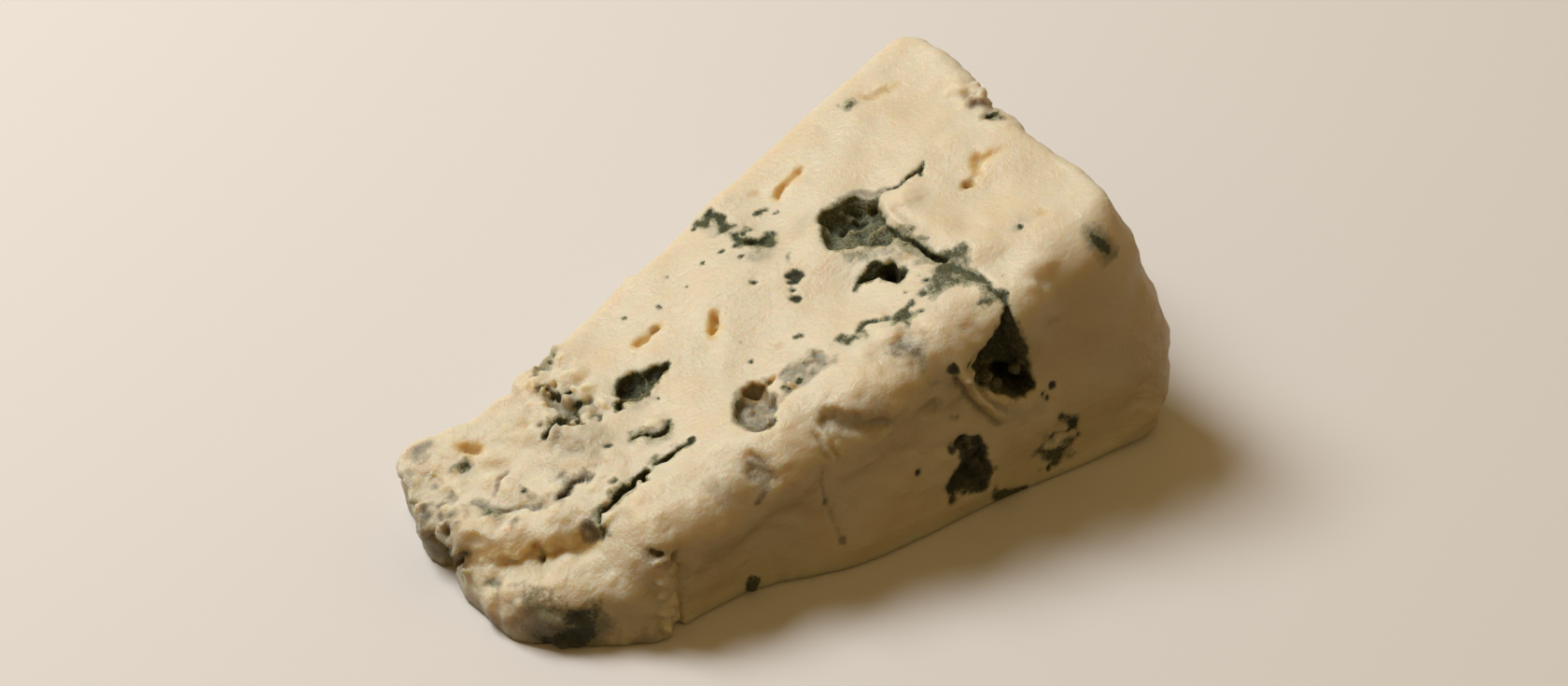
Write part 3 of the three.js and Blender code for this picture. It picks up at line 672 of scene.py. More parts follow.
def mould_spots():
    """The mould patches and specks of the upper cut that lie on the surface."""
    arch = [(75.6, 37.9), (76.1, 38.8), (77.1, 38.9), (77.4, 37.2), (76.8, 35.4)]
    stain(ellipse(76.8, 37, 1.2, 2), soft=1.8, ragged=0.8, grey=0.9, smudge=0.2)
    streak(arch, 1.15, ragged=0.45, mould=0.72, grey=0.8)
    groove(arch, 0.6, 0.45, ragged=0.4)
    lower = [(76.4, 33.6), (77.5, 32.4), (78.2, 33.5), (78.4, 31.7), (79.4, 30.9), (78.7, 29.5), (77, 30.4),
        (76, 31.6)]
    stain(lower, soft=2.2, ragged=0.6, grey=1, mould=0.36)
    pocket(lower, 0.5, slope=0.8, ragged=0.35, grit=0.24, rim=-0.3, mould=0.74, powder=0.25)
    specks(((78.4, 30.4, 0.8), (77.4, 31.6, 0.7), (76.7, 33.4, 0.6), (75.3, 30.2, 0.35), (75.7, 32.4, 0.45),
        (77.8, 33.6, 0.4)), mould=0.85)
    stain(ellipse(77.6, 28.3, 1.5, 1.1), soft=1.4, grey=1, smudge=0.18)
    stain(ellipse(83.5, 29, 1.6, 1), soft=1.8, grey=0.6)
    cluster = ((77.6, 23.6, 0.5), (78.2, 23.3, 0.6), (78.5, 22.4, 0.6), (77.8, 22.2, 0.6),
        (77.3, 22.6, 0.4), (76.3, 20, 0.55), (76, 20.5, 0.4), (76.7, 21.5, 0.35))
    specks(cluster, deep=0.35, mould=0.95, grey=0.5)
    streak([(78.6, 25), (79.9, 26.1)], 0.4, mould=0.38)
    stain([(31.8, 34.2), (33.5, 34.5), (34.2, 34.1), (33.2, 33), (32.2, 33)], soft=1.2, ragged=0.3, reach=3,
        smudge=0.75, grey=0.9)
    streak([(33.5, 28.2), (34.9, 28.3), (35.6, 29)], 0.4, ragged=0.35, mould=0.5, smudge=0.5)
    streak([(35.2, 28.6), (36.4, 28.3)], 0.35, ragged=0.35, mould=0.45)
    stain(ellipse(35, 28.5, 1.2, 0.6), soft=1, grey=0.7)
    stain(ellipse(98.6, 42, 0.7, 0.5), mould=0.5, grey=0.7)
    stain(ellipse(101.2, 9.9, 1.1, 0.8), soft=1.2, grey=0.8)
    speck(101.1, 9.7, 0.45, mould=0.85)
    stain(ellipse(107, 3, 0.9, 1.1), soft=1.8, ragged=0.15, reach=4, smudge=0.9)
    stain(ellipse(106.9, 3, 0.6, 0.8), soft=1, ragged=0.15, reach=4, mould=0.8)
    stain(ellipse(46.8, 19.2, 2.2, 2.4), soft=2.4, grey=0.8, smudge=0.12)
    streak([(72.9, 14.9), (73.6, 14.9), (74.1, 14.6)], 0.4, mould=0.62, grey=0.7)
    streak([(80.4, 34.9), (81.6, 35)], 0.5, mould=0.7)
    scattered = ((71.8, 32.8, 0.35), (73.9, 32.7, 0.35), (82.4, 33.6, 0.3), (60.9, 33.1, 0.35),
        (64.6, 31.3, 0.5), (68.4, 31, 0.25), (67.7, 34.7, 0.3), (58.6, 26.8, 0.25), (69, 26.3, 0.25),
        (74.1, 25.7, 0.45), (57.1, 19.3, 0.35), (56.4, 20.8, 0.4), (68.1, 19.3, 0.3), (67.2, 16.3, 0.35),
        (74.1, 38.6, 0.4), (48.2, 16.9, 0.4), (48.8, 16.8, 0.3))
    specks(scattered, mould=0.85)
    smudges = ((28.3, 25.2, 0.9), (30, 25.6, 0.6), (29.9, 22.2, 1.1), (28.8, 20.9, 0.7), (31.4, 28.6, 0.5),
        (29.9, 19.8, 0.6), (34.9, 15.6, 0.6), (34.4, 14.9, 0.5), (42.6, 17.4, 0.6), (38.6, 14.6, 0.6))
    for u, v, radius in smudges:
        stain(ellipse(u, v, 0.5 * radius, 0.6 * radius), soft=radius, ragged=0.12, reach=3, smudge=0.85,
            grey=0.8)


def crags():
    """Torn blocks at the far side, where the flake over the tip broke away."""
    torn_out = [(47.2, 29.6), (48.4, 30.4), (50.2, 30), (50.4, 22.4), (48.6, 21.2), (46.6, 22.2),
        (44.2, 23.4), (45.6, 25.4), (46.7, 27.4)]
    pocket(torn_out, 1.3, slope=0.6, ragged=0.4, grit=0.25, rim=0.8, grey=0.8, smudge=0.45)
    # painted shade and a painted tan glow in the hollow
    hollow = [(47.7, 29.9), (48.3, 29), (48.4, 28.2), (47.8, 26.9), (46.9, 26.6), (46.6, 27.3), (47, 28.6)]
    pocket(hollow, 1.4, ragged=0.1, rim=0.1, smudge=0.25, brown=0.35, pit=0.4)
    swelling([(42.6, 29.4), (43.2, 28.2), (44, 26.6), (43.3, 26.5), (42.4, 28.1)], -0.5, soft=1.2)
    crumble([(45, 22), (46.4, 33.6), (51.6, 34.6), (51, 22)], 0.3)
    plain = ((48.8, 31.3, (1.7, 1.6, 1.2), -0.7), (47, 32.7, (1.1, 0.9, 1.4), -0.6),
        (50.1, 29.6, (0.9, 1.1, 1.1), -0.5), (46.4, 22, (1.7, 1.5, 1.3), -0.8),
        (49.2, 28.4, (0.7, 0.6, 0.8), -0.6), (45, 24.9, (0.8, 0.7, 0.8), -1))
    mouldy = ((48.8, 26.5, (0.9, 1.2, 1.1), -0.5), (49.3, 23.5, (0.8, 1.4, 1), -0.7),
        (47.2, 25.3, (1.1, 0.9, 0.9), -1.1), (47.9, 23.7, (0.8, 0.7, 0.8), -0.9),
        (50.2, 33.2, (0.9, 0.9, 0.9), -0.5), (48.9, 33.3, (0.7, 0.7, 0.9), -0.5))
    crumbs(plain, 40, turn=0.7, blend=0.2, clean=0.85)
    crumbs(mouldy, 50, turn=0.9, blend=0.2, clean=0.9, grey=1, smudge=0.3)
    rng = np.random.default_rng(21)
    for i in range(24):
        radius = rng.uniform(0.28, 0.5)
        u, v, lift = rng.uniform(45.4, 50.8), rng.uniform(21.8, 33.4), rng.uniform(-1.1, -0.5)
        crumb(u, v, radius, i, 100 + i, lift, blend=0.15, clean=0.6)
    streak_line = [(43.4, 23.7), (44.3, 23.4), (45.1, 23.5), (46, 24.2), (46.8, 24.6), (48, 24.6)]
    crack(streak_line, 0.6, 1.4, ragged=0.15, mould=0.8)
    streak(streak_line[1:], 0.9, ragged=0.5, mould=0.3, grey=0.9)
    arc = [(46.9, 30.2), (47.5, 30.3), (48.1, 29.8), (48.5, 28.9), (48.3, 28), (47.9, 27.2)]
    # painted shade inside the arc crack
    crack(arc, 0.35, 1.4, ragged=0.1, taper=0.4, halo=0.35, mould=0.5, brown=0.6)
    for u, v, radius in ((49.3, 25.1, 0.45), (48.7, 24.7, 0.35), (48.6, 27.9, 0.35), (49.7, 27.5, 0.25)):
        pocket(ellipse(u, v, radius, 0.8 * radius), 1.6, slope=0.2, ragged=0.12, mould=0.9)
    crack([(48.6, 24.6), (48.3, 22.9), (48, 21.4)], 0.4, 1.4, ragged=0.12, mould=0.85)
    curl = [(49.2, 21.6), (49.8, 22), (50.4, 21.9), (50.2, 21.2), (49.5, 20.7)]
    groove(curl, 0.25, 0.5, ragged=0.1, mould=0.5)
    # painted shade beside the crumb under the crack
    stain([(44.8, 23), (46, 22), (45.8, 21), (44.8, 21.6)], reach=3, grey=0.9, smudge=0.3)
    # a painted tan glow in the low place
    stain([(42.6, 29.3), (43.2, 28.2), (44, 26.6), (43.2, 26.6), (42.4, 28)], reach=3, pit=0.5)
    stain([(48.2, 33.4), (49.4, 33.9), (51, 34.6), (51.4, 33), (50.4, 32), (49.2, 32.3)], soft=0.9,
        ragged=0.7, mould=0.34, grey=0.9)
    specks(((50.2, 32.9, 0.24), (49, 33.2, 0.18), (50.1, 33.8, 0.2), (49.4, 32.6, 0.18), (50.9, 33.3, 0.2),
        (49.8, 32.2, 0.15), (48.4, 32.6, 0.16)), deep=0.3, mould=0.7)
    # painted shade in one pinhole, a painted tan glow in the other
    speck(44.5, 24.9, 0.5, deep=0.4, brown=0.9)
    speck(46.3, 31.2, 0.5, deep=0.3, pit=0.7)


WALL_EDGE = (  # the wall between the slab over the tip and the chunk, on the upper cut
    (29.3, 16.7), (30.3, 15.9), (31.6, 14.4), (33.2, 13.4), (34.6, 11.9), (36, 10.9), (37.7, 9.8),
    (39.3, 8.6),
)


def tip():
    """The crumbly surface over the tip, its broken end and the wall above the chunk."""
    wall_depth = 2.2
    wall = [(u * COS_TOP + (u * SIN_TOP - wall_depth) * SIN_TOP, v) for u, v in WALL_EDGE]
    spot = Spot("upper", *zip(*wall), deep=4)
    x, _, z = spot.xyz
    below = smoothstep(0.8, 1.8, x * SIN_TOP - z * COS_TOP + 0.25 * KNOBS[spot.where])
    near_wall = smoothstep(1.9, 1.1, line_distance(wall, *spot.frayed(0.2))[0])
    # a painted tan glow on the wall above the chunk, which faces away from the light
    spot.paint({"pit": 0.8}, near_wall * below * spot.above(2.6, 3.4))
    # painted shade where the wall ends, over the recess behind the chunk
    end = [(39.5, 10), (40.3, 9.5), (41.3, 8.7), (41.5, 8), (40.8, 8), (40, 8.7), (39.5, 9.4)]
    stain(end, reach=4, soft=0.4, ragged=0.3, brown=0.9, smudge=0.7)
    # painted shade in a crevice by the wall and inside the small crack
    stain([(32, 14.6), (33.4, 13.4), (33.6, 12.6), (32, 13.4)], reach=4, soft=0.6, brown=0.45)
    crack([(35.4, 11.6), (34.9, 10.8)], 0.5, 3.4, ragged=0.1, taper=0.8, brown=0.6)

    # the crease beside the folds carries a painted shadow line
    fold = [(38.6, 23.7), (37.1, 22.8), (36.1, 21.9), (35.5, 21.5)]
    groove(fold, 0.25, 0.5, ragged=0.05, brown=0.8)
    for shift in (0.9, 1.9, 3):
        groove([(u + 0.2 * shift, v - shift) for u, v in fold], 0.4, -0.25, ragged=0.1)
    block = [(38.6, 20.4), (38.2, 18.3), (38.8, 16.3), (39.9, 15.6), (41.1, 16.6), (41.4, 18.5),
        (40.4, 20.1)]
    swelling(block, 0.7, soft=1)
    streak([(38.6, 20.2), (38.1, 18.3), (38.4, 17), (39.2, 15.9)], 0.5, mould=0.2, grey=0.8)
    speck(38.3, 19.2, 0.35, mould=0.9)
    spotted = [(33, 22.3), (33.7, 22.4), (34.4, 20.6), (34.9, 18.6), (34, 17.9), (33, 19.3), (33.3, 20.8)]
    stain(spotted, soft=1.1, ragged=0.2, reach=3, smudge=0.8, grey=0.8)
    stains(((33.4, 22.2, 0.6), (33.6, 19.8, 0.8), (34.1, 18.4, 0.5)), 0.6, 1, soft=0.7, ragged=0.15,
        reach=3, mould=0.56)
    # painted shade along the low step of the flake
    brown_line = [(34.2, 18.6), (35.8, 18.2), (37.3, 17.8), (37.8, 16.5), (38.5, 16)]
    groove(brown_line, 0.4, 0.5, ragged=0.15, brown=0.35, smudge=0.4)
    # painted shade in the recess between the flake and the body
    recess = [(39.8, 14.3), (41.6, 15), (43.5, 15.2), (44.3, 14.9)]
    crack(recess, 1.1, 0.9, ragged=0.3, taper=0.2, brown=0.5, smudge=1)
    streak(recess, 1, ragged=0.5, smudge=0.6)
    streak([(40.6, 15.4), (42.8, 16.2)], 0.9, ragged=0.6, grey=0.9, smudge=0.25)
    swelling(ellipse(41.4, 12.6, 3.2, 1.3), 0.5, soft=1.6)
    stain([(29.4, 32.9), (30.2, 32.2), (29.6, 30.9), (28.6, 31.5)], grey=0.8, brown=0.3)
    stain([(26.5, 27), (28.6, 25.4), (29.6, 22), (29.4, 18.4), (28, 17), (26, 16)], soft=3.6, ragged=1.2,
        grey=0.7, smudge=0.15)
    crumble([(26, 31), (29, 31), (32, 24), (32, 16), (26, 16)], 0.2, soft=2.5)

    crack([(17.4, 6.4), (19.4, 3.4), (22.6, -0.4)], 1, 2.2, taper=0.6, grey=0.6, brown=0.3, side="tip")
    for v, side in ((6.9, 1), (5.3, -1), (3.6, 1), (2.2, -1)):
        groove([(18, v), (25, v + 0.5 * side), (33, v)], 0.45, 0.45, grey=0.3, side="tip")
    # painted shade: the lower part of the tip's end is darker towards its foot
    stain([(20, 4.4), (31, 4.8), (31, 1), (20, 0.5)], soft=1.8, ragged=0.9, grey=0.9, smudge=0.4,
        side="tip")
    stains(((25.5, 6.6, 0.8), (25, 5.8, 0.5), (27.4, 4.2, 0.7), (22.5, 7.2, 0.6), (20.6, 7, 0.5)), 1, 0.7,
        soft=0.9, smudge=0.75, side="tip")
    stain(ellipse(12.6, 4.9, 0.6, 0.4), soft=0.6, mould=0.5, smudge=0.6, side="tip")


def chunk():
    """The half-broken piece at the tip's near corner."""
    front = [(31, 4.8), (30.4, 3.4), (31, 0.5), (36, 0.3), (37, 2.8), (35.4, 4.2), (33.2, 4.6)]
    stain(front, soft=2.4, ragged=0.5, reach=3, smudge=1, side="near")
    blots = (  # place, radius, and how much mould
        (32, 5, 1.2, 0.5), (34.2, 4.4, 1.5, 0.75), (35.9, 4.4, 1.1, 0.6), (33.2, 1.6, 1.4, 0.85),
        (34.9, 2.2, 1.3, 0.9), (31.2, 2, 0.9, 0.5),
    )
    for u, v, radius, mould in blots:
        stain(ellipse(u, v, radius, 0.8 * radius), soft=2, ragged=0.35, reach=3, mould=mould, side="near")
    streak([(31, 7.8), (30.7, 6.6), (30.6, 5.2)], 0.9, ragged=0.4, reach=3, smudge=0.45, side="near")
    for u, v in ((37.5, 1.2), (41, 1)):
        stain(ellipse(u, v, 1, 0.5), soft=1.2, reach=3, smudge=0.7, side="near")
    # painted shade in the recess behind the chunk and in its crack
    behind = [(42.1, 11.7), (44.3, 11.4), (45.2, 10.4), (44, 10), (42.8, 10.7)]
    stain(behind, soft=1, reach=3, brown=0.35, smudge=0.4, side="near")
    crack([(42.4, 11.6), (43.6, 11.2), (44.8, 10.4)], 0.8, 1.2, brown=0.5, side="near")
    groove([(44.9, 10.4), (45.1, 7), (45, 3.6), (45.4, 1)], 0.5, 0.5, grey=0.4, side="near")
    torn_end = [(43.4 + 0.9 * (i % 2), 10.2 - 1.05 * i, (1.2, 0.9, 1.1), -0.4) for i in range(9)]
    crumbs(torn_end, 90, blend=0.5, side="near")
    rows = (  # depth below the cut, half length and width of the lobes, and their places
        (5, 2.3, 2.2, ((30.4, 14.6), (33.1, 12), (36.6, 8.6), (39.8, 6.2), (42.4, 3.2))),
        (6.3, 2.2, 2.2, ((29, 11.8), (31.4, 9.6), (34.4, 7), (37.8, 4.6), (40.8, 2.4))),
    )
    for below, long, wide, places in rows:
        for u, v in places:
            bulge(u, v, below, long, wide, 2.5, blend=0.5, clean=1)
    stain(ellipse(29.6, 12.4, 0.8, 0.5), soft=0.7, smudge=0.9, reach=3)


def cavity():
    """The torn hollow that opens on the near side, with the folds and holes round it."""
    mouth = [(89.2, 26.2), (90, 24.2), (91.3, 20.6), (92.4, 16.5), (92.9, 13.8), (90.9, 13.4), (87.2, 15.3),
        (84.8, 17.9), (83.9, 19.8), (85.5, 21.6), (87.4, 23.8)]
    # the mouth's walls carry painted shade beside their mould
    pocket(mouth, 4.6, ragged=0.06, rim=0.3, mould=0.6, powder=0.4, brown=0.5, side="near")
    lower = [(88.6, 16.2), (91.2, 16.6), (92.8, 15.2), (92.6, 14), (91.3, 13.7), (89.4, 14.6)]
    pocket(lower, 6.5, slope=0.1, ragged=0.1, mould=1, side="near")
    streak([(88.9, 15), (88.7, 18)], 0.7, reach=6, mould=0.75, side="near")
    crack([(89.2, 26.4), (88.9, 27.6), (88.6, 28.6)], 0.5, 1.2, ragged=0.15, mould=0.7, side="near")
    blocks = ((86.8, 17.6, 0.9), (88.2, 16, 0.8), (90.8, 17, 0.8), (89.2, 17.4, 0.6))
    crumbs([(u, v, (size, 1.2 * size, size), -1.8) for u, v, size in blocks], 60, side="near", mould=0.7,
        powder=0.4, brown=0.5)
    speck(81, 21.5, 0.7, deep=0.4, mould=0.85, grey=0.8, side="near")
    specks(((95.2, 13.6, 0.6), (94.4, 12.3, 0.45), (83.7, 21.1, 0.4), (93.6, 13, 0.35)), deep=0.4,
        mould=0.85, side="near")
    ribbon = [(81.9, 21.3), (82.7, 20.1), (83.7, 18.4), (84.6, 16.7), (85.4, 15.3), (86.6, 13.7),
        (88, 12.3)]
    groove(ribbon, 0.55, -1.3, ragged=0.12, side="near")
    # painted shadow lines beside the raised ribbon
    groove([(u - 0.55, v - 0.65) for u, v in ribbon], 0.3, 0.6, ragged=0.1, brown=0.5, side="near")
    groove([(u + 0.5, v + 0.6) for u, v in ribbon[2:]], 0.3, 0.5, ragged=0.1, brown=0.3, side="near")
    for u, v in ((83, 20.2), (84.3, 19.4), (86.4, 15.1), (88.1, 14.2)):
        swelling(ellipse(u, v, 0.5, 0.5), 0.6, soft=0.9, side="near")
    stain([(86.6, 14.2), (94, 13.2), (94, 11.6), (87.6, 12.4)], soft=1, grey=0.6, side="near")
    streak([(81.4, 14.5), (82.2, 14.2)], 0.35, brown=0.9, side="near")


def near_marks():
    """Mould, bruises and dents of the near side, with painted shade in the dents and a painted tan glow."""
    left = [(81.3, 11), (84.8, 10.5), (85.6, 9.6), (85.2, 7.7), (85.8, 6.3), (85, 4.3), (83.3, 4.6),
        (80.4, 5.3), (80.1, 6.4), (82, 7.4), (81.7, 8.1), (82.6, 8.7), (82.3, 9.5)]
    pocket(left, 1.2, slope=0.45, ragged=0.22, grit=0.2, rim=-0.1, halo=0.6, mould=0.85, side="near")
    streak([(81.2, 5.4), (81.2, 3.8)], 0.5, mould=0.6, side="near")
    darkest = [(80.6, 6.2), (82.6, 7.2), (84.6, 6.6), (84.8, 4.6), (82.8, 4.9), (80.8, 5.5)]
    pocket(darkest, 1.7, slope=0.5, rim=0, mould=1, side="near")
    blocks = ((84, 9.2, 1.1), (84.2, 7, 0.9), (82.7, 8.4, 0.6), (82.4, 5.8, 0.8))
    crumbs([(u, v, (size, 0.8, size), -0.9) for u, v, size in blocks], 20, blend=0.15, side="near",
        mould=0.7)
    stain([(82.6, 10.4), (85, 10.2), (85, 8.4), (83.4, 8)], reach=3, powder=0.6, side="near")
    dark = [(96.4, 7.7), (96.9, 8.5), (98.3, 8), (98.4, 6.5), (97.5, 6.6), (96.5, 7.1)]
    stain(dark, soft=0.7, mould=0.9, grey=0.8, side="near")
    stain([(94.3, 5.5), (95.6, 5.7), (97.2, 4.6), (97.4, 2.6), (94.7, 2.3), (94.1, 4)], soft=1.3,
        ragged=0.8, mould=0.56, grey=1, side="near")
    crumble([(94, 6), (97, 8), (98, 3), (94, 2)], 0.3, soft=1, side="near")
    foot = [(86.9, 1.6), (87.2, 2.9), (88.5, 2.6), (91.2, 1.3), (91.9, 0.4), (88, 0)]
    stain(foot, ragged=0.5, mould=0.72, grey=0.8, side="near")
    specks(((98.8, 5.2, 0.4), (94.9, 2, 0.4)), side="near", mould=0.7, grey=0.8)
    specks(((95.1, 6.8, 0.5), (76.3, 9.6, 0.55)), side="near", mould=0.8, grey=0.8)
    # painted shade in these dents, with a little mould
    specks(((65.9, 4.7, 0.6), (64.2, 10.3, 0.5), (50.6, 16.2, 0.45)), deep=0.3, brown=0.95, mould=0.3,
        side="near")
    line = [(63.8, 15.2), (64.2, 11.1), (64.9, 8.8), (65.4, 6), (65.6, 4.9)]
    # painted shade along the crease
    groove(line, 0.3, 0.3, ragged=0.1, brown=0.25, side="near")
    # a painted tan glow
    ochre = [(61.7, 10.2), (62.9, 10.6), (64.1, 9.6), (64.6, 4.3), (63.4, 3.7), (61.9, 5.2)]
    stain(ochre, ragged=0.3, pit=0.25, side="near")
    swelling(ellipse(78.5, 17, 1.4, 0.8), -0.5, soft=1.6, side="near")
    groove([(54.4, 21.2), (55.4, 19.6), (56.2, 18.4)], 0.5, 0.5, side="near")
    # a painted tan glow
    stain(ellipse(47.5, 17.6, 1, 0.6), pit=0.35, side="near")
    crumb(55.4, 1.5, (0.7, 0.8, 1.2), 0.4, 11, 0, mould=0.8, brown=0.5, side="near")


def rind_bite():
    """The rind's upper edge has crumbled away in one place."""
    bite = [(108.2, 34), (108.6, 31.6), (109, 29.6), (108.4, 27.9), (109.4, 26.6), (112.5, 26.2), (114, 30),
        (113, 35)]
    pocket(bite, 0.8, slope=0.9, ragged=0.4, grit=0.25, rim=0.1, grey=0.6)
    lumps = ((109.2, 34.2, 1.8), (110, 32, 1.6), (108.6, 31.6, 1.3), (110.8, 33.6, 1.1), (109.6, 35.8, 0.9))
    crumbs([(*lump, -1) for lump in lumps], 70, blend=0.8)
    # painted shade in the bite and in its hole
    brown = [(109.2, 31.4), (110.6, 31), (111.4, 29.4), (111, 27.2), (109.6, 27.8), (109.2, 29.9)]
    stain(brown, soft=0.7, ragged=0.6, reach=3, brown=0.95)
    crumble(bite, 0.12)
    hole = [(108.2, 27.6), (109.1, 28.2), (110.3, 27.3), (109.9, 26.2), (108.9, 27)]
    pocket(hole, 1.4, ragged=0.12, rim=0, mould=0.7, brown=0.9)


def hidden_sides():
    """The far side, the underside and the rind, finished as the sides that show."""
    pocket(ellipse(92, 17, 3.2, 1.8, 0.5), 1.8, slope=0.45, mould=1, powder=0.3, halo=1.2, side="far")
    pocket(ellipse(76, 8.5, 2.1, 1.1, -0.3), 1.4, slope=0.45, mould=0.95, halo=1, side="far")
    # a painted tan glow in this hole, as in the clean holes that show
    pocket(ellipse(66, 13.5, 1.7, 0.7, 0.8), 1.4, grit=0.05, pit=0.9, side="far")
    pocket(ellipse(54, 6.5, 2.4, 1, 0.2), 1.3, slope=0.45, mould=0.9, powder=0.4, halo=1, side="far")
    crack([(98, 9), (94, 11.2), (90.5, 11.6), (87, 14)], 0.9, 1.6, mould=0.95, side="far")
    crack([(46, 9), (49.5, 9.6), (53, 12)], 0.8, 1.4, mould=0.9, side="far")
    stain(ellipse(84, 21, 2.2, 1.2, 0.4), mould=0.6, grey=0.9, side="far")
    stain(ellipse(102, 25, 1.6, 1), mould=0.5, grey=0.8, side="far")
    stain(ellipse(40, 5, 2.4, 1.4), mould=0.5, grey=0.8, side="far")
    pocket(ellipse(94, 31, 3, 1.7, 0.6), 1.6, slope=0.45, mould=1, powder=0.3, halo=1.2, side="under")
    pocket(ellipse(84, 13, 2.2, 1, -0.4), 1.3, slope=0.45, mould=0.95, halo=1, side="under")
    pocket(ellipse(58, 29, 2.6, 1.2, 0.3), 1.4, slope=0.45, mould=0.95, powder=0.4, halo=1, side="under")
    # a painted tan glow in this hole, as in the clean holes that show
    pocket(ellipse(46, 12, 2, 1, -0.7), 1.2, pit=0.9, side="under")
    crack([(70, 18), (74, 20.4), (79, 20.8), (82.6, 23)], 0.9, 1.4, mould=0.95, side="under")
    crack([(100, 12), (98, 16), (99, 19.6)], 0.8, 1.2, mould=0.9, side="under")
    stain(ellipse(72, 34, 2.4, 1.4, 0.6), mould=0.6, grey=0.9, side="under")
    stain(ellipse(64, 9, 1.8, 1.1), mould=0.5, grey=0.8, side="under")
    for u, v, long in ((14, 20, 1.6), (30, 12, 2.2), (39, 24, 1.4), (22, 7, 1.2)):
        stain(ellipse(u, v, long, 0.7 * long, v), soft=1.6, mould=0.34, grey=0.8, side="rind")
    rng = np.random.default_rng(8)
    for side, low, high in (("far", 34, 106), ("under", 34, 104), ("rind", 6, 44)):
        for _ in range(26):
            u = rng.uniform(low, high)
            v = rng.uniform(*{"far": (2, 0.26 * u), "under": (6, 32), "rind": (2, 27)}[side])
            speck(u, v, rng.uniform(0.3, 0.65), mould=rng.uniform(0.5, 0.9), side=side)


def relief():
    parts = (ridge, tip, chunk, crags, blue_pockets, brown_pocket, cracks, clean_pits, mould_spots, cavity,
        near_marks, rind_bite, hidden_sides)
    for part in parts:
        part()
    np.maximum(field, SIDES["under"], out=field)


# ---- from the field to a mesh ----
def sample(grid, places):
    """A grid's values at places given in grid steps."""
    cell = np.clip(np.floor(places).astype(int), 0, np.array(SHAPE) - 2)
    f = places - cell
    total = np.zeros(len(places))
    for corner in np.ndindex(2, 2, 2):
        weight = np.prod(np.where(corner, f, 1 - f), axis=1)
        total += weight * grid[tuple((cell + corner).T)]
    return total


def largest_piece(count, quads):
    """Which points belong to the mesh's largest connected piece."""
    label = np.arange(count)
    ends = np.concatenate([quads[:, (0, 1)], quads[:, (1, 2)], quads[:, (2, 3)]])
    while True:
        low = np.minimum(label[ends[:, 0]], label[ends[:, 1]])
        before = label.copy()
        np.minimum.at(label, ends[:, 0], low)
        np.minimum.at(label, ends[:, 1], low)
        label = label[label]
        if np.array_equal(before, label):
            break
    return label == np.bincount(label).argmax()


def thin_out(mesh, plain):
    """Fewer triangles among the plain points, so that the whole mesh comes to about MOST_TRIANGLES."""
    thinned = bpy.data.objects.new("thinned", mesh)
    bpy.context.collection.objects.link(thinned)
    thinned.vertex_groups.new(name="plain").add([int(i) for i in np.flatnonzero(plain)], 1.0, "REPLACE")
    modifier = thinned.modifiers.new("fewer", "DECIMATE")
    modifier.ratio = min(1, MOST_TRIANGLES / (2 * len(mesh.polygons)))
    modifier.vertex_group = "plain"
    baked = bpy.data.meshes.new_from_object(thinned.evaluated_get(bpy.context.evaluated_depsgraph_get()))
    bpy.data.objects.remove(thinned)
    bpy.data.meshes.remove(mesh)
    return baked


def cheese_mesh():
    """The field's surface as a mesh, with the tints as attributes of its points."""
    volume = openvdb.FloatGrid(background=FAR_AWAY)
    volume.copyFromArray(np.clip(field, -FAR_AWAY, FAR_AWAY).astype(np.float32))
    points, quads = volume.convertToQuads(0.0)
    keep = largest_piece(len(points), quads)
    renumber = np.cumsum(keep) - 1
    quads = renumber[quads[keep[quads[:, 0]]]]
    points = points[keep]
    places = (points * STEP + GRID_LOW - BOX_MIDDLE) * MM

    mesh = bpy.data.meshes.new("cheese_wedge_paste")
    mesh.vertices.add(len(places))
    mesh.vertices.foreach_set("co", places.astype(np.float32).ravel())
    mesh.loops.add(quads.size)
    mesh.loops.foreach_set("vertex_index", quads.astype(np.int32).ravel())
    mesh.polygons.add(len(quads))
    mesh.polygons.foreach_set("loop_start", np.arange(0, quads.size, 4, dtype=np.int32))
    mesh.update(calc_edges=True)
    mesh.validate()
    for name, grid in tint.items():
        layer = mesh.attributes.new(name, "FLOAT", "POINT")
        layer.data.foreach_set("value", sample(grid, points).astype(np.float32))
    turned_away = np.maximum(np.maximum(SIDES["under"], SIDES["far"]), SIDES["rind"])
    tinted = sum(sample(tint[name], points) for name in TINTS if name != "torn")
    mesh = thin_out(mesh, (sample(turned_away, points) > -PLAIN_DEPTH) & (tinted < PLAIN_TINT))
    mesh.name = "cheese_wedge_paste"
    mesh.shade_smooth()
    return mesh


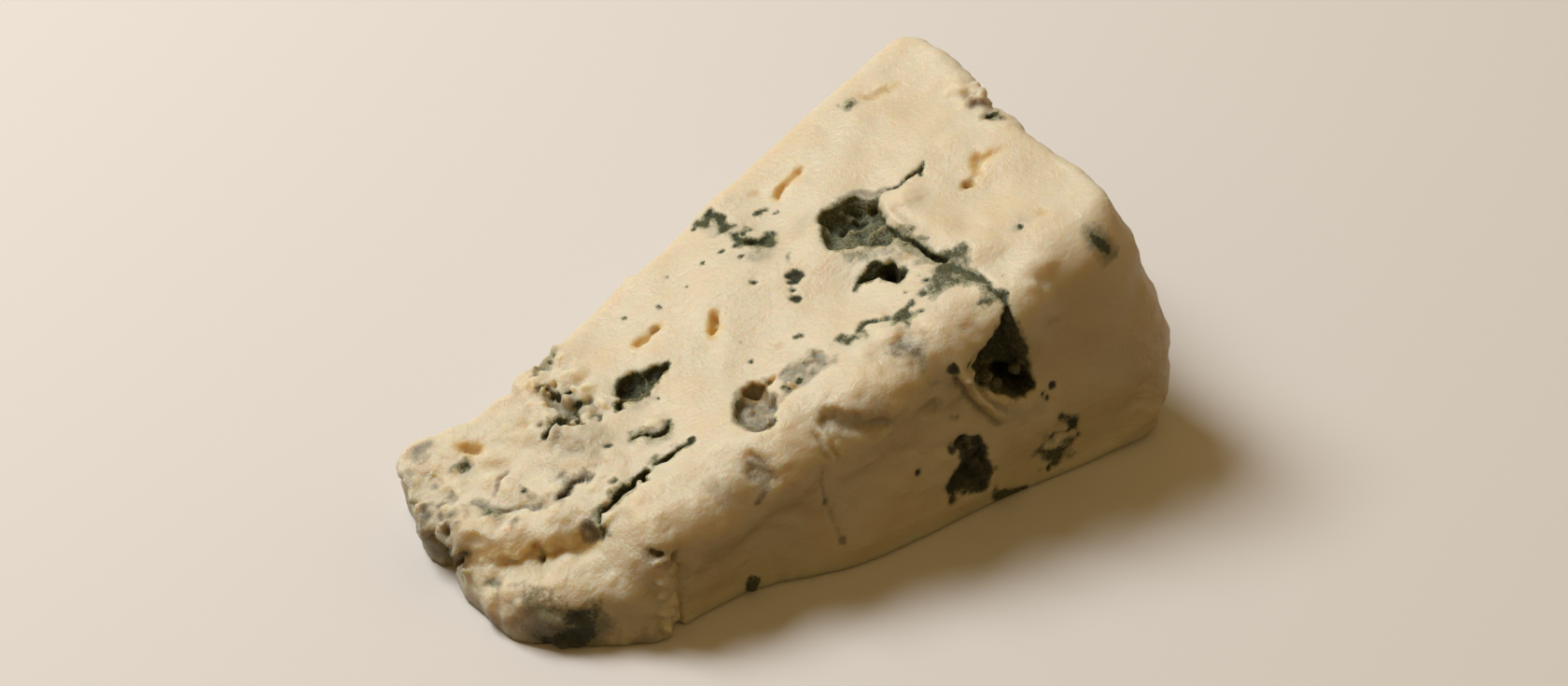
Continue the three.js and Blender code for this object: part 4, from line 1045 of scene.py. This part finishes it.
# ---- materials ----
class Shader:
    """A small helper that adds nodes and links values into them."""

    def __init__(self, owner):
        owner.use_nodes = True
        self.tree = owner.node_tree

    def node(self, kind, settings=None, **inputs):
        made = self.tree.nodes.new(kind)
        for name, value in (settings or {}).items():
            setattr(made, name, value)
        for name, value in inputs.items():
            self.put(made.inputs[name.replace("_", " ")], value)
        return made

    def put(self, socket, value):
        if isinstance(value, bpy.types.NodeSocket):
            self.tree.links.new(value, socket)
        else:
            socket.default_value = value

    def math(self, operation, a, b=0.0, clamp=False):
        made = self.node("ShaderNodeMath", {"operation": operation, "use_clamp": clamp})
        self.put(made.inputs[0], a)
        self.put(made.inputs[1], b)
        return made.outputs[0]

    def times(self, a, b, clamp=False):
        return self.math("MULTIPLY", a, b, clamp)

    def plus(self, a, b, clamp=False):
        return self.math("ADD", a, b, clamp)

    def ramp(self, value, low, high):
        """0 below low, 1 above high, smooth between."""
        made = self.node("ShaderNodeMapRange", {"interpolation_type": "SMOOTHSTEP"}, Value=value,
            From_Min=low, From_Max=high)
        return made.outputs[0]

    def mix(self, factor, a, b):
        made = self.node("ShaderNodeMix", {"data_type": "RGBA"})
        for socket, value in ((0, factor), (6, a), (7, b)):  # of its many inputs, the ones for colours
            self.put(made.inputs[socket], value)
        return made.outputs[2]

    def noise(self, vector, wavelength, detail=2.0, roughness=0.5):
        made = self.node("ShaderNodeTexNoise", Vector=vector, Scale=1 / (wavelength * MM), Detail=detail,
            Roughness=roughness)
        return made.outputs["Fac"]

    def tint(self, name):
        return self.node("ShaderNodeAttribute", {"attribute_name": name}).outputs["Fac"]


def linear(red, green, blue):
    """A linear colour from one given in 0 to 255."""
    parts = [c / 255 for c in (red, green, blue)]
    return tuple(c / 12.92 if c < 0.04 else ((c + 0.055) / 1.055) ** 2.4 for c in parts) + (1.0,)


PASTE = linear(229, 223, 201)
PASTE_WARM = linear(228, 217, 189)
PASTE_GREY = linear(188, 187, 168)
# a painted tan glow, for hollows and walls that lie in shade
PAINTED_GLOW = linear(222, 192, 122)
# brown marks and painted shade in creases, recesses and under swellings
BROWN_AND_SHADE = linear(112, 88, 56)
# soft dark mould and painted shade
SMUDGE_AND_SHADE = linear(66, 66, 47)
MOULD_HALO = linear(162, 163, 136)
MOULD_GREEN = linear(84, 88, 56)
MOULD_TEAL = linear(76, 86, 62)
MOULD_DEEP = linear(54, 55, 32)
MOULD_POWDER = linear(142, 145, 120)
SMEAR_ANGLE, SMEAR_STRETCH = math.radians(-50), 0.2  # the knife's strokes
BUMP_HEIGHT = 0.2 * MM


def broken_up(shader, name, patterns, weights):
    """A tint with noise added where it is present, so that its edge breaks up."""
    amount = total = shader.tint(name)
    for pattern, weight in zip(patterns, weights):
        total = shader.plus(total, shader.times(shader.math("SUBTRACT", pattern, 0.5), weight))
    return shader.times(total, shader.ramp(amount, 0.03, 0.15))


def paste_colour(shader, patterns, mould, cloudy):
    _, _, coarse = patterns
    powder = broken_up(shader, "powder", patterns, (1.2, 0.6, 0.4))
    brown = broken_up(shader, "brown", patterns, (0.3, 0.4, 0.4))
    smudge = broken_up(shader, "smudge", patterns, (0.3, 0.5, 0.5))
    grey = shader.plus(shader.tint("grey"), shader.times(shader.tint("mould"), 0.5), True)
    green = shader.mix(shader.ramp(coarse, 0.4, 0.62), MOULD_TEAL, MOULD_GREEN)
    # The pit layer is a painted tan glow, and the brown and smudge layers are partly real marks and partly
    # painted shade.
    layers = (
        (shader.ramp(cloudy, 0.35, 0.7), PASTE_WARM), (shader.times(grey, 0.7), PASTE_GREY),
        (shader.times(shader.tint("pit"), 0.9), PAINTED_GLOW), (shader.times(brown, 0.85, True), BROWN_AND_SHADE),
        (shader.times(smudge, 0.92, True), SMUDGE_AND_SHADE), (shader.ramp(mould, 0.1, 0.42), MOULD_HALO),
        (shader.ramp(mould, 0.36, 0.6), green), (shader.ramp(mould, 0.62, 0.95), MOULD_DEEP),
        (shader.ramp(powder, 0.3, 0.95), MOULD_POWDER),
    )
    colour = PASTE
    for amount, layer in layers:
        colour = shader.mix(amount, colour, layer)
    return colour


def paste_bump(shader, place_in_piece, dust, covered):
    """Fine relief: smeared by the knife, crumbly where it is torn, dusty where mould covers it."""
    smeared = shader.node("ShaderNodeMapping", {"vector_type": "POINT"}, Vector=place_in_piece,
        Rotation=(0, 0, SMEAR_ANGLE), Scale=(SMEAR_STRETCH, 1, 1))
    creases = shader.math("SUBTRACT", shader.noise(place_in_piece, 1.1, 3, 0.6), 0.5)
    crumbly = shader.math("ABSOLUTE", creases)
    parts = (
        (shader.noise(smeared.outputs[0], 0.7, 2), 0.5),
        (crumbly, shader.plus(shader.times(shader.tint("torn"), 2.0), 1.2)),
        (dust, covered),
    )
    height = shader.times(shader.noise(place_in_piece, 0.7, 3, 0.6), 0.8)
    for pattern, amount in parts:
        height = shader.plus(height, shader.times(pattern, amount))
    return shader.node("ShaderNodeBump", Strength=0.8, Distance=BUMP_HEIGHT, Height=height).outputs[0]


def paste_material():
    material = bpy.data.materials.new("blue_veined_paste")
    shader = Shader(material)
    paste = material.node_tree.nodes["Principled BSDF"].inputs
    place_in_piece = shader.node("ShaderNodeTexCoord").outputs["Object"]
    patterns = [shader.noise(place_in_piece, *grain) for grain in ((0.28, 1), (0.6, 2), (1.8, 2))]
    dust, _, coarse = patterns
    mould = broken_up(shader, "mould", patterns, (0.35, 0.5, 0.6))
    cloudy = shader.noise(place_in_piece, 8, 3)
    shader.put(paste["Base Color"], paste_colour(shader, patterns, mould, cloudy))
    covered = shader.ramp(mould, 0.3, 0.7)
    rough = shader.plus(shader.times(covered, 0.3), shader.times(coarse, 0.3))
    shader.put(paste["Roughness"], shader.plus(rough, 0.3))
    shader.put(paste["Normal"], paste_bump(shader, place_in_piece, dust, covered))
    paste["IOR"].default_value = 1.45
    paste["Subsurface Weight"].default_value = 1.0
    paste["Subsurface Radius"].default_value = (1.0, 0.62, 0.36)
    paste["Subsurface Scale"].default_value = 2.6 * MM
    return material


def floor_material():
    material = bpy.data.materials.new("floor")
    material.use_nodes = True
    surface = material.node_tree.nodes["Principled BSDF"].inputs
    surface["Base Color"].default_value = (0.82, 0.83, 0.84, 1)
    surface["Roughness"].default_value = 0.9
    surface["Specular IOR Level"].default_value = 0.1
    return material


# ---- the scene ----
FLOOR_REACH = 3.0  # metres


def add_object(name, data):
    made = bpy.data.objects.new(name, data)
    bpy.context.collection.objects.link(made)
    return made


def build_cheese():
    relief()
    cheese = add_object("cheese_wedge_shown", cheese_mesh())
    cheese.data.materials.append(paste_material())
    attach(cheese, "root")
    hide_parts("cheese_wedge")


def build_floor():
    mesh = bpy.data.meshes.new("floor")
    corners = [(x * FLOOR_REACH, y * FLOOR_REACH, 0) for x, y in ((-1, -1), (1, -1), (1, 1), (-1, 1))]
    mesh.from_pydata(corners, [], [(0, 1, 2, 3)])
    floor = add_object("floor", mesh)
    mesh.materials.append(floor_material())
    floor.visible_diffuse = False


def area_light(name, towards, distance, size, power, colour):
    """A square lamp in that direction from the wedge, turned towards it."""
    data = bpy.data.lights.new(name, "AREA")
    data.size, data.energy, data.color = size, power, colour
    lamp = add_object(name, data)
    direction = Vector(towards).normalized()
    lamp.location = direction * distance
    lamp.rotation_euler = direction.to_track_quat("Z", "Y").to_euler()


def build_lights():
    """One soft lamp above the far side, and a warm room that is darker below and overhead."""
    area_light("key", (-0.28, 0.52, 0.80), 0.9, 0.38, 6.6, (1.0, 0.97, 0.93))
    world = bpy.data.worlds.new("room")
    shader = Shader(world)
    background = world.node_tree.nodes["Background"].inputs
    background["Color"].default_value = (1.0, 0.63, 0.235, 1)
    direction = shader.node("ShaderNodeTexCoord").outputs["Generated"]
    upwards = shader.node("ShaderNodeSeparateXYZ", Vector=direction).outputs["Z"]
    above_floor = shader.times(shader.ramp(upwards, -0.15, 0.15), 0.42)
    overhead = shader.math("SUBTRACT", 1.0, shader.times(shader.ramp(upwards, 0.2, 0.9), 0.6))
    shader.put(background["Strength"], shader.times(above_floor, overhead))
    bpy.context.scene.world = world


def build_camera():
    data = bpy.data.cameras.new("camera")
    data.lens, data.sensor_width = CAMERA_LENS, CAMERA_SENSOR
    data.clip_start, data.clip_end = 0.01, 10
    camera = add_object("camera", data)
    level, height = math.cos(CAMERA_ELEVATION), math.sin(CAMERA_ELEVATION)
    back = Vector((math.sin(CAMERA_AZIMUTH) * level, -math.cos(CAMERA_AZIMUTH) * level, height))
    camera.location = (Vector(CAMERA_TARGET) - Vector(BOX_MIDDLE) + back * CAMERA_DISTANCE) * MM
    camera.rotation_euler = back.to_track_quat("Z", "Y").to_euler()
    bpy.context.scene.camera = camera


build_cheese()
build_floor()
build_lights()
build_camera()
bpy.context.scene.view_settings.view_transform = "Standard"
